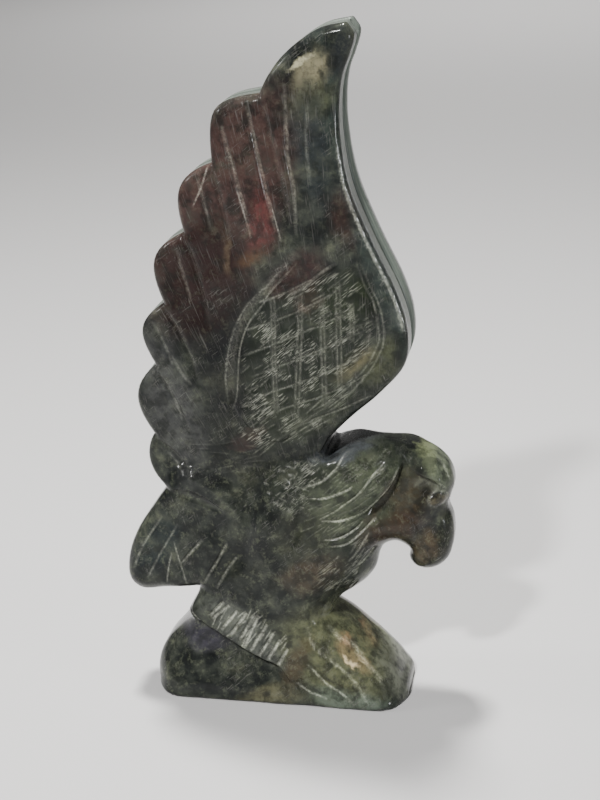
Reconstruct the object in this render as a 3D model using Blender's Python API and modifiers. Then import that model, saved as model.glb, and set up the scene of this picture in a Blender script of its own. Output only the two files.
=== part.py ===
"""A jasper carving of an eagle on a rock, its wings held up and back, cut from one flat block of stone.

The bird is drawn in side view, in the XZ plane, and looks along +X. Both faces of the block are carved alike:
the front half is modelled towards -Y and mirrored. The origin is the middle of the underside.
"""

import bpy
import bmesh
import numpy as np

# Driving sizes, in metres. A depth is measured through the stone, from one face to the other
HEIGHT = 0.180
WING_DEPTH = 0.020
TIP_DEPTH = 0.016
FEATHER_DEPTH = 0.0145
BODY_DEPTH = 0.025
NECK_DEPTH = 0.022
HEAD_DEPTH = 0.018
BEAK_DEPTH = 0.012
TAIL_DEPTH = 0.016
TAIL_ROOT_DEPTH = 0.023
ROCK_DEPTH = 0.0335
ROCK_BACK_DEPTH = 0.030
ROCK_HOLLOW = 0.0022
PANEL_RAISE = 0.0006
THIGH_RAISE = 0.0012
MERGE = 0.0040
CRISP = 0.0014
WING_ROUND = 0.0022
LEADING_ROUND = 0.0014
BODY_ROUND = 0.0105
HEAD_ROUND = 0.0075
BEAK_ROUND = 0.0042
TAIL_ROUND = 0.0040
ROCK_ROUND = 0.0080
TIGHT_ROUND = 0.0014
BASE_ROUND = 0.0012
RIM_GROOVE_WIDTH = 0.0035
RIM_GROOVE_DEPTH = 0.0035
PARTING_WIDTH = 0.0021
PARTING_DEPTH = 0.0006
COVERT_BAND_WIDTH = 0.0036
COVERT_BAND_DEPTH = 0.0007
CUT_WIDTH = 0.0013
CUT_DEPTH = 0.0007
TOE_GROOVE_WIDTH = 0.0044
TOE_GROOVE_DEPTH = 0.0007
LATTICE_PITCH = 0.0055
LEG_CUTS = 10
EYE_RADIUS = 0.0022
EYE_DEPTH = 0.0009
CELL = 0.0005
TRIANGLES = 9800

# The side view is drawn in hundredths of the height
SHARE = HEIGHT / 100

# The outer edges' rounding is part of a superellipse. At 2 it would be a circle's, and below that it is more pointed
ARCH = 1.75

# Leading edge, from the wing tip down over the wrist to the neck, and the tip's own back edge
LEADING_EDGE = [
    (12.7, 100.0), (13.7, 98.2), (13.0, 95.6), (12.0, 92.9), (11.5, 89.3), (11.6, 84.2), (12.7, 77.7),
    (15.6, 70.2), (18.9, 63.0), (20.3, 57.7), (19.8, 52.8), (16.3, 48.6), (12.6, 45.3), (8.8, 41.7),
]
TIP_EDGE = [(0.5, 90.7), (1.6, 92.8), (3.5, 95.3), (6.2, 97.6), (9.2, 99.3)]

# The notches between the feathers on the back edge, from the top, and how full each feather's end is
NOTCHES = [(0.4, 90.7), (-6.7, 81.2), (-11.3, 71.3), (-14.9, 60.9), (-16.7, 51.6), (-17.6, 41.0), (-15.8, 32.4)]
FULLNESS = [0.62, 0.52, 0.54, 0.55, 0.49, 0.41]
UPPER_TURN = np.radians(46)
LOWER_TURN = np.radians(39)

# Where the outline of the wings closes inside the body
WING_ROOT = [(4.0, 34.0), (-6.0, 28.0)]

# Stretches of the side view over which the depth changes, across or upwards
FEATHER_RUN = (0, 28)
TIP_RUN = (75, 100)
NECK_RUN = (4, 19)
TAIL_RUN = (-20, -6)
ROCK_RUN = (-19, 19)
ROCK_RISE = (0, 16)
HOLLOW_RISE = (0, 8)
GROOVE_RISE = (25, 45)
PANEL_FADE = (60, 66)
SHARP_FOOT = (52, 60)
SHARP_HEAD = (78, 88)

# Corners between two of the outline's loops, and how far from them the edges stay sharp
TIGHT_NOTCHES = [(8.0, 39.6), (-12.4, 13.9), (-15.8, 32.4)]
TIGHT_RUN = (0, 8)

BODY = [
    (-12.2, 36.0), (-13.5, 26.0), (-12.2, 18.6), (-11.9, 16.6), (-12.8, 14.5), (-13.4, 12.2), (-9.0, 5.0),
    (0.0, 3.0), (7.0, 5.0), (7.6, 12.0), (9.1, 15.0), (11.3, 16.6), (13.2, 18.1), (14.5, 19.9), (15.1, 22.2),
    (16.0, 23.8), (17.7, 24.5), (19.1, 23.9), (19.7, 23.1), (19.6, 21.9), (20.5, 20.6), (22.3, 20.2),
    (24.1, 20.8), (25.5, 22.4), (26.2, 25.2), (26.1, 28.0), (25.4, 30.3), (25.8, 32.0), (26.3, 34.0),
    (25.6, 36.5), (23.5, 38.6), (20.2, 40.0), (16.1, 40.5), (12.4, 40.1), (9.8, 39.0),
    (8.3, 38.5), (7.2, 39.8), (2.0, 43.0), (-6.0, 42.0),
]
TAIL = [
    (-12.0, 36.0), (-16.1, 32.6), (-18.7, 29.2), (-20.9, 26.0), (-22.5, 22.6), (-23.2, 19.4), (-23.0, 17.2),
    (-21.9, 15.9), (-20.2, 15.5), (-17.0, 16.1), (-12.3, 17.1), (-6.0, 18.0), (-4.0, 30.0),
]
ROCK = [
    (-12.0, 13.8), (-13.5, 11.7), (-15.8, 9.3), (-18.0, 6.8), (-19.2, 4.2), (-19.2, 1.2), (-17.8, -4.0),
    (0.0, -6.0), (17.8, -4.0), (19.4, 0.6), (18.2, 2.9), (16.0, 5.8), (13.5, 8.5), (11.0, 10.9), (8.2, 12.8),
    (4.0, 15.0), (-4.0, 16.0),
]

# Areas of the relief inside the silhouette
PANEL = [
    (5.0, 67.6), (2.6, 65.2), (0.2, 62.2), (-2.2, 58.4), (-3.6, 54.6), (-4.3, 49.6), (-4.4, 45.0), (0.8, 41.0),
    (6.5, 45.0), (12.2, 49.8), (15.8, 54.6), (16.6, 59.0), (15.6, 62.6), (13.6, 67.6), (10.0, 69.6),
]
BREAST = [
    (8.8, 41.0), (4.0, 37.6), (-0.5, 35.6), (-3.0, 32.0), (-5.5, 27.5), (-8.0, 22.5), (-11.5, 18.0),
    (-16.0, 15.5), (-15.5, 11.5), (-2.0, 4.0), (8.0, 2.0), (20.0, 14.0), (21.0, 30.0), (19.0, 43.0),
]
THIGH = [(-5.0, 27.0), (-3.6, 32.5), (-0.5, 34.6), (2.6, 31.5), (3.4, 26.0), (1.5, 19.0), (-2.5, 18.0)]
FACE = [
    (12.6, 28.2), (14.6, 31.2), (16.8, 33.6), (18.4, 36.2), (19.8, 38.6), (23.0, 42.0), (30.0, 38.0),
    (30.0, 18.0), (18.0, 18.0), (14.6, 24.0),
]
BEAK = [
    (28.0, 32.0), (24.8, 30.4), (22.6, 29.2), (21.1, 27.2), (20.3, 24.4), (17.0, 20.0), (24.0, 16.0), (30.0, 22.0),
]
HOLLOW = [
    (-15.0, 15.5), (-12.6, 13.6), (-10.2, 11.6), (-5.7, 8.8), (-2.3, 7.1), (0.9, 5.6), (2.0, 1.0), (-8.0, -6.0),
    (-26.0, -6.0), (-26.0, 10.0),
]

# Ledges, as where a feather or a lock of the mane lies over the next: a line, how high its left side stands over
# its right, and how far that reaches to the left and to the right
LEDGES = [
    ([(0.4, 90.7), (1.7, 87.2), (2.6, 82.6), (3.4, 78.7), (4.3, 74.7), (4.6, 70.1)], 0.0006, 0.0060, 0.0060),
    ([(-6.7, 81.2), (-5.6, 77.5), (-4.9, 73.7), (-4.0, 68.0)], 0.0008, 0.0060, 0.0060),
    ([(-11.3, 71.3), (-10.0, 68.0), (-8.8, 62.8), (-8.3, 59.8), (-7.8, 56.0)], 0.0008, 0.0060, 0.0060),
    ([(-14.9, 60.9), (-12.5, 56.8), (-10.9, 52.7), (-9.8, 48.0)], 0.0009, 0.0060, 0.0060),
    ([(-16.7, 51.6), (-14.6, 48.2), (-12.8, 44.6), (-11.6, 41.0)], 0.0009, 0.0060, 0.0060),
    ([(-17.6, 41.0), (-14.2, 38.3), (-12.4, 36.0), (-11.5, 33.6)], 0.0008, 0.0050, 0.0050),
    ([(-15.8, 32.4), (-13.6, 33.0), (-11.0, 32.6), (-7.8, 30.8), (-6.0, 28.4)], 0.0010, 0.0050, 0.0040),
    ([(12.9, 40.0), (10.6, 38.2), (7.9, 35.8), (4.3, 34.4)], 0.0008, 0.0045, 0.0030),
    ([(12.2, 35.0), (11.4, 34.4), (8.3, 33.2), (5.5, 32.9)], 0.0007, 0.0030, 0.0020),
    ([(17.0, 37.8), (15.3, 36.7), (13.1, 33.9), (10.9, 32.1), (7.2, 29.7)], 0.0008, 0.0040, 0.0020),
    ([(12.6, 30.2), (10.1, 29.5), (7.5, 29.5)], 0.0006, 0.0030, 0.0020),
    ([(13.4, 29.2), (12.4, 28.0), (10.1, 26.8), (7.6, 26.4)], 0.0007, 0.0030, 0.0020),
    ([(15.2, 29.6), (13.7, 27.9), (11.2, 25.9), (8.7, 25.4)], 0.0007, 0.0030, 0.0020),
    ([(14.8, 28.2), (14.3, 27.4), (12.6, 24.5), (11.2, 22.8)], 0.0006, 0.0030, 0.0020),
]

# Gouges that undercut a line's right side only, behind the mane and under the crown: a line, a depth, and the reach
# at the line's start and end
GOUGES = [
    ([(13.2, 30.0), (15.4, 32.2), (17.3, 34.6), (18.5, 36.8), (19.2, 38.4)], 0.0026, 0.0036, 0.0014),
    ([(18.8, 39.6), (19.7, 38.2), (20.9, 36.9), (22.2, 36.0), (23.6, 35.3), (24.7, 34.4)], 0.0010, 0.0016, 0.0020),
]

# Swellings and hollows: centre, half length, half width, turn in degrees, and rise
SWELLINGS = {
    "thigh": ((-0.6, 27.0), 6.5, 3.2, 75, 0.0010),
    "cleft before the thigh": ((3.9, 28.2), 3.4, 1.0, 68, -0.0016),
    "hollow behind the thigh": ((-5.2, 23.2), 3.4, 1.8, 50, -0.0012),
    "facet of the tail root": ((-9.8, 28.4), 3.6, 2.6, 130, -0.0010),
    "dip between wing and neck": ((1.5, 37.6), 6.0, 2.0, 20, -0.0008),
    "neck": ((12.0, 35.5), 6.0, 3.5, 25, 0.0008),
    "cheek": ((17.6, 27.4), 2.8, 2.2, 30, 0.0010),
    "socket": ((22.6, 34.2), 1.9, 1.2, -20, -0.0020),
    "brow": ((24.6, 35.3), 2.0, 0.7, -48, 0.0010),
    "eyeball": ((24.3, 32.3), 1.3, 1.3, 0, 0.0006),
    "cheekbone": ((21.6, 30.4), 2.4, 1.2, 60, 0.0006),
    "hook": ((23.4, 24.8), 3.6, 2.4, 80, 0.0008),
    "foot": ((9.0, 8.6), 9.0, 4.6, -38, 0.0010),
}

# Carved lines inside the silhouette
PARTING_ENDS = [
    (4.7, 69.5), (-4.0, 68.0), (-7.8, 56.0), (-9.8, 48.0), (-11.6, 41.0), (-11.5, 33.6), (-7.0, 29.8),
]
PARTING_BOW = (-0.6, -0.3)
COVERT_BAND = [(5.2, 69.0), (2.9, 66.4), (0.2, 63.4), (-2.4, 60.0), (-4.4, 56.2), (-5.2, 51.6), (-5.2, 46.6)]
FLUTES = [
    [(-4.8, 86.5), (-3.0, 79.2), (-1.4, 71.2)], [(-1.1, 89.2), (0.5, 80.8), (2.3, 71.8)],
    [(4.2, 92.1), (4.4, 82.6), (5.1, 71.3)], [(-16.6, 58.4), (-15.1, 55.3), (-13.7, 51.6)],
    [(-14.3, 53.6), (-12.6, 50.7), (-11.2, 49.0)],
]
PANEL_BORDERS = [
    [(4.7, 68.3), (2.7, 66.3), (-2.1, 61.5), (-4.9, 56.0), (-6.1, 49.9), (-5.8, 46.0)],
    [(5.2, 67.2), (1.3, 63.5), (-2.4, 58.3), (-4.1, 51.6), (-5.3, 45.3)],
    [(13.5, 67.7), (15.8, 62.0), (16.4, 56.8), (14.5, 52.8), (9.5, 47.4), (0.8, 41.0)],
]
LATTICE_UPRIGHTS = [
    [(1.4, 62.5), (1.4, 45.5)], [(5.5, 63.6), (4.2, 45.5)], [(8.5, 62.5), (8.5, 47.2)],
    [(10.7, 64.8), (10.7, 49.5)], [(12.5, 61.9), (12.5, 56.8)],
]
LATTICE_CENTRE = (6.0, 54.5)
LATTICE_REACH = (8.5, 10.0)
LATTICE_SLOPE = np.radians(24)
MANE = [
    [(4.3, 34.4), (7.7, 35.6), (10.0, 37.8), (11.1, 39.5)], [(5.5, 32.9), (8.3, 33.2), (12.2, 35.0)],
    [(11.1, 32.2), (13.1, 33.9), (15.3, 36.7)], [(7.2, 29.7), (9.5, 31.0), (10.9, 32.1)],
    [(7.6, 26.4), (10.1, 26.8), (13.4, 28.8)], [(8.7, 25.4), (11.2, 25.9), (13.7, 27.9)],
    [(11.2, 22.8), (12.6, 24.5), (14.3, 27.4)],
]
TAIL_CUTS = [
    [(-16.8, 28.4), (-20.3, 23.2), (-22.1, 19.3)], [(-14.4, 27.4), (-17.8, 21.8), (-19.9, 17.9)],
    [(-10.6, 25.3), (-14.6, 20.4)], [(-6.7, 25.3), (-10.8, 18.3)], [(-5.5, 22.9), (-8.8, 17.7)],
]
TOES = [
    [(4.8, 12.6), (5.6, 10.0), (7.6, 8.1), (9.8, 6.7), (12.4, 3.9), (14.0, 1.0)],
    [(7.6, 12.0), (9.5, 10.3), (11.5, 9.1), (12.9, 7.2), (15.2, 4.7), (16.3, 2.7)],
    [(12.4, 10.6), (14.3, 8.9), (16.0, 7.5), (17.1, 5.5), (17.4, 4.8)],
    [(4.8, 7.0), (7.3, 4.4), (10.1, 2.5), (11.8, 1.0)], [(3.1, 3.9), (5.3, 2.3), (7.9, 1.6)],
]
LEG_TOP = [(-7.6, 15.9), (-3.0, 14.2), (2.0, 9.1)]
LEG_HEM = [(-9.9, 13.4), (-4.9, 9.5), (0.4, 6.3)]
EYE = (24.2, 32.3)
MOUTH = [(20.3, 24.0), (21.0, 26.4), (20.7, 28.7), (19.2, 30.2)]


def smooth_curve(points, closed=False, steps=5):
    """A Catmull-Rom curve through the points, in metres."""
    points = np.array(points, float) * SHARE
    if closed:
        before, here, after, beyond = (np.roll(points, shift, axis=0) for shift in (1, 0, -1, -2))
    else:
        ends = np.vstack([2 * points[0] - points[1], points, 2 * points[-1] - points[-2]])
        before, here, after, beyond = ends[:-3], ends[1:-2], ends[2:-1], ends[3:]
    curve = []
    for share in np.arange(steps) / steps:
        curve.append(0.5 * (
            2 * here + (after - before) * share
            + (2 * before - 5 * here + 4 * after - beyond) * share ** 2
            + (3 * here - before - 3 * after + beyond) * share ** 3
        ))
    curve = np.stack(curve, axis=1).reshape(-1, 2)
    return curve if closed else np.vstack([curve, points[-1:]])


def feather_end(start, end, fullness, steps=8):
    """The rounded end of one feather: a Bezier curve that turns out of one notch and back into the next."""
    start, end = np.array(start) * SHARE, np.array(end) * SHARE
    along = end - start
    out = np.array([along[1], -along[0]])
    first = start + fullness * (along * np.cos(UPPER_TURN) + out * np.sin(UPPER_TURN))
    second = end + fullness * (-along * np.cos(LOWER_TURN) + out * np.sin(LOWER_TURN))
    share = (np.arange(1, steps + 1) / steps)[:, None]
    return (
        start * (1 - share) ** 3 + 3 * first * share * (1 - share) ** 2
        + 3 * second * share ** 2 * (1 - share) + end * share ** 3
    )


def wing_loop():
    """The wings' outline: leading edge, root inside the body, then the feather ends back up to the tip."""
    edge = smooth_curve(LEADING_EDGE)
    lobes = [feather_end(*pair) for pair in zip(NOTCHES, NOTCHES[1:], FULLNESS)]
    tip = smooth_curve([*TIP_EDGE, LEADING_EDGE[0]])[:-1]
    root = np.array(WING_ROOT) * SHARE
    return np.vstack([edge, root, *[lobe[::-1] for lobe in lobes[::-1]], tip])


LOOPS = {
    "wing": wing_loop(),
    "body": smooth_curve(BODY, closed=True),
    "tail": smooth_curve(TAIL, closed=True),
    "rock": smooth_curve(ROCK, closed=True),
}
AREAS = {
    "tail": LOOPS["tail"],
    "rock": LOOPS["rock"],
    "panel": smooth_curve(PANEL, closed=True),
    "breast": smooth_curve(BREAST, closed=True),
    "thigh": smooth_curve(THIGH, closed=True),
    "face": smooth_curve(FACE, closed=True),
    "beak": smooth_curve(BEAK, closed=True),
    "hollow": smooth_curve(HOLLOW, closed=True),
}
# Further out than this from a loop, a point only has to know that it is outside
REACH = 0.012


def pieces(line, closed=False):
    """The straight pieces of a line, as their starts and spans."""
    starts = line if closed else line[:-1]
    return starts, (np.roll(line, -1, axis=0) if closed else line[1:]) - starts


def nearest(points, starts, spans):
    """Distance, nearest place, share of the line before it, and +1 to the line's left or -1 to its right."""
    x, z = np.ascontiguousarray(points.T)
    lengths = np.maximum((spans ** 2).sum(axis=1), 1e-18)
    best = np.full(len(x), np.inf)
    which = np.zeros(len(x), int)
    for number, ((x0, z0), (dx, dz), length) in enumerate(zip(starts, spans, lengths)):
        part = np.clip(((x - x0) * dx + (z - z0) * dz) / length, 0, 1)
        far = (x0 + part * dx - x) ** 2 + (z0 + part * dz - z) ** 2
        which[far < best] = number
        np.minimum(best, far, out=best)
    offset, span = points - starts[which], spans[which]
    part = np.clip((offset * span).sum(axis=1) / lengths[which], 0, 1)
    left = np.sign(span[:, 0] * offset[:, 1] - span[:, 1] * offset[:, 0])
    return np.sqrt(best), starts[which] + part[:, None] * span, (which + part) / len(starts), left


def close_to(points, line, reach):
    return ((points > line.min(axis=0) - reach) & (points < line.max(axis=0) + reach)).all(axis=1)


def inside(points, loop):
    """True where a point lies within the loop, by counting the edges that a ray along +X crosses."""
    x, z = np.ascontiguousarray(points.T)
    found = np.zeros(len(x), bool)
    for (x0, z0), (x1, z1) in zip(loop, np.roll(loop, -1, axis=0)):
        if z0 != z1:
            found ^= ((z0 <= z) != (z1 <= z)) & (x < x0 + (z - z0) / (z1 - z0) * (x1 - x0))
    return found


def depth_within(points, loop):
    """How far each point lies within a loop, and below zero outside it."""
    near = close_to(points, loop, REACH)
    depth = np.full(len(points), -REACH)
    away = nearest(points[near], *pieces(loop, closed=True))[0]
    depth[near] = np.where(inside(points[near], loop), away, -away)
    return depth


def outer_edge():
    """The stretches of the four loops that lie within no other loop, in short pieces."""
    starts, spans = [], []
    for name, loop in LOOPS.items():
        ahead = np.roll(loop, -1, axis=0)
        counts = np.ceil(np.linalg.norm(ahead - loop, axis=1) / CELL).astype(int)
        fine = np.vstack([
            np.linspace(here, there, count, endpoint=False) for here, there, count in zip(loop, ahead, counts)
        ])
        start, span = pieces(fine, closed=True)
        others = [other for key, other in LOOPS.items() if key != name]
        hidden = np.any([inside(start + span / 2, other) for other in others], axis=0)
        starts.append(start[~hidden])
        spans.append(span[~hidden])
    return np.vstack(starts), np.vstack(spans)


OUTER_EDGE = outer_edge()


def outline(points):
    """How far each point lies within the whole silhouette, and the nearest place on it."""
    away, place, _, _ = nearest(points, *OUTER_EDGE)
    held = np.any([inside(points, loop) for loop in LOOPS.values()], axis=0)
    return np.where(held, away, -away), place


def step(value, low, high):
    """A smooth step from 0 at low to 1 at high."""
    share = np.clip((value - low) / (high - low), 0, 1)
    return share * share * (3 - 2 * share)


def over(run, place):
    """The smooth step along a stretch of the side view."""
    return step(place, run[0] * SHARE, run[1] * SHARE)


def mix(first, second, share):
    return first + (second - first) * share


def amount(points, area, softness):
    """1 well within an area, 0 well outside it."""
    return step(depth_within(points, AREAS[area]), -softness / 2, softness / 2)


def relief(points):
    """Half the stone's depth at each point, and the radius that the outer edge is rounded to there."""
    x, z = points.T
    from_front = nearest(points, *pieces(smooth_curve(LEADING_EDGE, steps=2)))[0]
    half = mix(WING_DEPTH, FEATHER_DEPTH, over(FEATHER_RUN, from_front)) / 2
    half = half * mix(1, TIP_DEPTH / WING_DEPTH, over(TIP_RUN, z))
    sharp = step(-from_front, -2 * WING_ROUND, -WING_ROUND) * over(SHARP_FOOT, z) * (1 - over(SHARP_HEAD, z))
    edge = mix(WING_ROUND, LEADING_ROUND, sharp)
    breast = mix(BODY_DEPTH, NECK_DEPTH, over(NECK_RUN, x))
    tail = mix(TAIL_DEPTH, TAIL_ROOT_DEPTH, over(TAIL_RUN, x))
    rock = mix(mix(ROCK_BACK_DEPTH, ROCK_DEPTH, over(ROCK_RUN, x)), BODY_DEPTH, over(ROCK_RISE, z))
    for name, depth, radius, softness in (
        ("tail", tail, TAIL_ROUND, MERGE),
        ("breast", breast, BODY_ROUND, 3.5 * MERGE),
        ("rock", rock, ROCK_ROUND, 2 * MERGE),
        ("face", HEAD_DEPTH, HEAD_ROUND, 2 * MERGE),
        ("beak", BEAK_DEPTH, BEAK_ROUND, 1.5 * MERGE),
    ):
        share = amount(points, name, softness)
        half = mix(half, depth / 2, share)
        edge = mix(edge, radius, share)
    half = half + PANEL_RAISE * amount(points, "panel", CRISP) * (1 - over(PANEL_FADE, z))
    half = half + THIGH_RAISE * step(depth_within(points, AREAS["thigh"]), 0, 2 * MERGE)
    half = half - ROCK_HOLLOW * amount(points, "hollow", CRISP) * over(HOLLOW_RISE, z)
    for notch in TIGHT_NOTCHES:
        away = np.linalg.norm(points - np.array(notch) * SHARE, axis=1)
        edge = mix(TIGHT_ROUND, edge, over(TIGHT_RUN, away))
    return half, np.minimum(edge, 0.92 * half)


def ledges(points):
    """How far the stone stands above the broad relief along the ledges, and below it along the gouges."""
    rise = np.zeros(len(points))
    for line, height, high_reach, low_reach in LEDGES:
        path = smooth_curve(line)
        near = close_to(points, path, 2 * high_reach)
        away, _, share, left = nearest(points[near], *pieces(path))
        ends = step(share, 0, 0.12) * step(1 - share, 0, 0.5)
        reach = np.where(left > 0, high_reach, low_reach)
        fade = np.exp(-away / reach) * step(2 * reach - away, 0, reach)
        rise[near] += height * ends * fade * np.clip(left * away / (0.25 * CRISP), -1, 1) / 2
    for line, depth, first_reach, last_reach in GOUGES:
        path = smooth_curve(line)
        near = close_to(points, path, 4 * max(first_reach, last_reach))
        away, _, share, left = nearest(points[near], *pieces(path))
        ends = step(share, 0, 0.15) * step(1 - share, 0, 0.2)
        reach = mix(first_reach, last_reach, share)
        rise[near] -= depth * ends * np.exp(-((away / reach) ** 2)) * (left < 0) * step(away, 0, 0.5 * CRISP)
    return rise


def swellings(points):
    rise = np.zeros(len(points))
    for (x, z), length, width, turn, height in SWELLINGS.values():
        offset = (points / SHARE - (x, z)) @ np.array([
            [np.cos(np.radians(turn)), -np.sin(np.radians(turn))],
            [np.sin(np.radians(turn)), np.cos(np.radians(turn))],
        ])
        rise += height * np.exp(-((offset / (length, width)) ** 2).sum(axis=1))
    return rise


def lattice():
    """The crossing lines cut on the wing's shoulder: the uprights, and slanting lines one pitch apart."""
    centre, reach = np.array(LATTICE_CENTRE) * SHARE, np.array(LATTICE_REACH) * SHARE
    along = np.array([np.cos(LATTICE_SLOPE), np.sin(LATTICE_SLOPE)])
    across = np.array([-along[1], along[0]])
    lines = [np.array(upright, float) * SHARE for upright in LATTICE_UPRIGHTS]
    count = int(reach[1] / LATTICE_PITCH)
    for row in range(-count, count + 1):
        middle = centre + across * row * LATTICE_PITCH
        half = reach[0] * np.sqrt(1 - (row / (count + 1)) ** 2)
        lines.append(np.array([middle - along * half, middle + along * half]))
    return lines


def cuts():
    """Every line that is carved into the relief, with its width and depth."""
    made = []
    for notch, end in zip(NOTCHES, PARTING_ENDS):
        middle = (np.array(notch) + end) / 2 + PARTING_BOW
        made.append((smooth_curve([notch, middle, end]), PARTING_WIDTH, PARTING_DEPTH))
    for line in [*FLUTES, *PANEL_BORDERS, *MANE, *TAIL_CUTS, *TOES, MOUTH]:
        made.append((smooth_curve(line), CUT_WIDTH, CUT_DEPTH))
    for line in lattice():
        made.append((line, CUT_WIDTH, CUT_DEPTH))
    top, hem = smooth_curve(LEG_TOP, steps=20), smooth_curve(LEG_HEM, steps=20)
    for place in np.linspace(0, len(top) - 1, LEG_CUTS).astype(int):
        made.append((np.array([top[place], hem[place]]), CUT_WIDTH, CUT_DEPTH))
    for line in TOES:
        made.append((smooth_curve(line), TOE_GROOVE_WIDTH, TOE_GROOVE_DEPTH))
    made.append((smooth_curve(COVERT_BAND), COVERT_BAND_WIDTH, COVERT_BAND_DEPTH))
    return made


def carved(points):
    """How far the tools went in below the relief at each point."""
    sunk = np.zeros(len(points))
    for path, width, depth in cuts():
        near = close_to(points, path, width / 2)
        if not near.any():
            continue
        away, _, share, _ = nearest(points[near], *pieces(path))
        taper = np.sqrt(np.clip(4 * share * (1 - share), 0, 1))
        bite = depth * np.clip(1 - (2 * away / width) ** 2, 0, 1) * taper
        sunk[near] = np.maximum(sunk[near], bite)
    around = np.hypot(*(points - np.array(EYE) * SHARE).T)
    ring = EYE_DEPTH * np.exp(-((around - EYE_RADIUS) / (0.25 * EYE_RADIUS)) ** 2)
    return np.maximum(sunk, ring)


def sheet_in_outline():
    """A flat grid of cells that fills the silhouette, still with a ragged edge."""
    loops = np.vstack(list(LOOPS.values()))
    low, high = loops.min(axis=0) - CELL, loops.max(axis=0) + CELL
    low[1] = 0
    count = np.ceil((high - low) / CELL).astype(int)
    size = count * CELL
    sheet = bmesh.new()
    bmesh.ops.create_grid(sheet, x_segments=int(count[0]), y_segments=int(count[1]), size=0.5)
    bmesh.ops.scale(sheet, vec=(size[0], size[1], 1), verts=sheet.verts)
    bmesh.ops.translate(sheet, vec=(low[0] + size[0] / 2, size[1] / 2, 0), verts=sheet.verts)
    within, _ = outline(np.array([v.co.xy for v in sheet.verts]))
    spare = [vert for vert, depth in zip(sheet.verts, within) if depth < 0]
    while spare:
        bmesh.ops.delete(sheet, geom=spare, context="VERTS")
        spare = [v for v in sheet.verts if sum(e.is_boundary for e in v.link_edges) > 2 or not v.link_faces]
    return sheet


def half_carving():
    """The front half as a shell that is open at the middle plane."""
    shell = sheet_in_outline()
    points = np.array([v.co.xy for v in shell.verts])
    rim = np.array([v.is_boundary for v in shell.verts])
    within, place = outline(points)
    floor = points[:, 1] < CELL / 2
    drawn = rim & ~(floor & (within > CELL))
    points[drawn] = place[drawn]
    points[floor, 1] = 0

    # Cells slide towards the rounded edges, so that they follow the rounding in even steps
    _, edge = relief(points)
    within, place = outline(points)
    slid = ~rim & (within < edge) & (within > 0)
    turn = within[slid] / edge[slid] * np.pi / 2
    points[slid] = mix(place[slid], points[slid], (edge[slid] * (1 - np.cos(turn)) / within[slid])[:, None])
    low = (points[:, 1] < BASE_ROUND) & ~rim
    points[low, 1] = BASE_ROUND * (1 - np.cos(points[low, 1] / BASE_ROUND * np.pi / 2))

    half, edge = relief(points)
    within, _ = outline(points)
    within[drawn] = 0
    roll = np.clip(1 - within / edge, 0, 1)
    half = half - edge * (1 - (1 - roll ** ARCH) ** (1 / ARCH))
    roll = np.clip(1 - points[:, 1] / BASE_ROUND, 0, 1)
    half = half - BASE_ROUND * (1 - np.sqrt(1 - roll ** 2))
    half = half + (ledges(points) + swellings(points) - carved(points)) * step(within, 0, CUT_WIDTH)
    for vert, (x, z), y in zip(shell.verts, points, half):
        vert.co = (x, -y, z)
    close_rim(shell)
    return shell


def inward_ways(points):
    """The way into the stone from each point of the outline, from how deep small steps around it lead."""
    total = np.zeros_like(points)
    for turn in np.linspace(0, 2 * np.pi, 12, endpoint=False):
        way = np.array([np.cos(turn), np.sin(turn)])
        total += outline(points + way * CELL)[0][:, None] * way
    return total / np.maximum(np.linalg.norm(total, axis=1), 1e-9)[:, None]


def close_rim(shell):
    """Carries the edge back to the middle plane, sinking a groove between the two wings."""
    edges = [e for e in shell.edges if e.is_boundary]
    rows = []
    for _ in range(2):
        made = bmesh.ops.extrude_edge_only(shell, edges=edges)["geom"]
        edges = [g for g in made if isinstance(g, bmesh.types.BMEdge) and g.is_boundary]
        rows.append([g for g in made if isinstance(g, bmesh.types.BMVert)])
    lip, bottom = rows
    for vert in lip:
        vert.co.y = max(vert.co.y, -RIM_GROOVE_WIDTH / 2)
    points = np.array([(v.co.x, v.co.z) for v in bottom])
    others = np.max([depth_within(points, LOOPS[name]) for name in ("body", "tail", "rock")], axis=0)
    grooved = step(-others, CRISP, MERGE) * over(GROOVE_RISE, points[:, 1])
    points = points + inward_ways(points) * (RIM_GROOVE_DEPTH * grooved)[:, None]
    for vert, (x, z) in zip(bottom, points):
        vert.co = (x, 0, z)


def jasper():
    stone = bpy.data.materials.new("jasper")
    stone.use_nodes = True
    shader = stone.node_tree.nodes["Principled BSDF"]
    shader.inputs["Base Color"].default_value = (0.045, 0.050, 0.038, 1)
    shader.inputs["Roughness"].default_value = 0.22
    shader.inputs["Metallic"].default_value = 0
    return stone


def build():
    for thing in list(bpy.data.objects):
        bpy.data.objects.remove(thing)
    shell = half_carving()
    bmesh.ops.recalc_face_normals(shell, faces=shell.faces)
    mesh = bpy.data.meshes.new("eagle_on_rock")
    shell.to_mesh(mesh)
    shell.free()
    mesh.materials.append(jasper())
    mesh.shade_smooth()
    carving = bpy.data.objects.new("eagle_on_rock", mesh)
    collection = bpy.data.collections.new("jasper_eagle")
    bpy.context.scene.collection.children.link(collection)
    collection.objects.link(carving)
    mirror = carving.modifiers.new("other face", "MIRROR")
    mirror.use_axis = (False, True, False)
    mirror.merge_threshold = 0.00001
    thin = carving.modifiers.new("fewer triangles", "DECIMATE")
    thin.ratio = TRIANGLES / (4 * len(mesh.polygons))
    thin.use_symmetry = True
    thin.symmetry_axis = "Y"


build()
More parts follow.
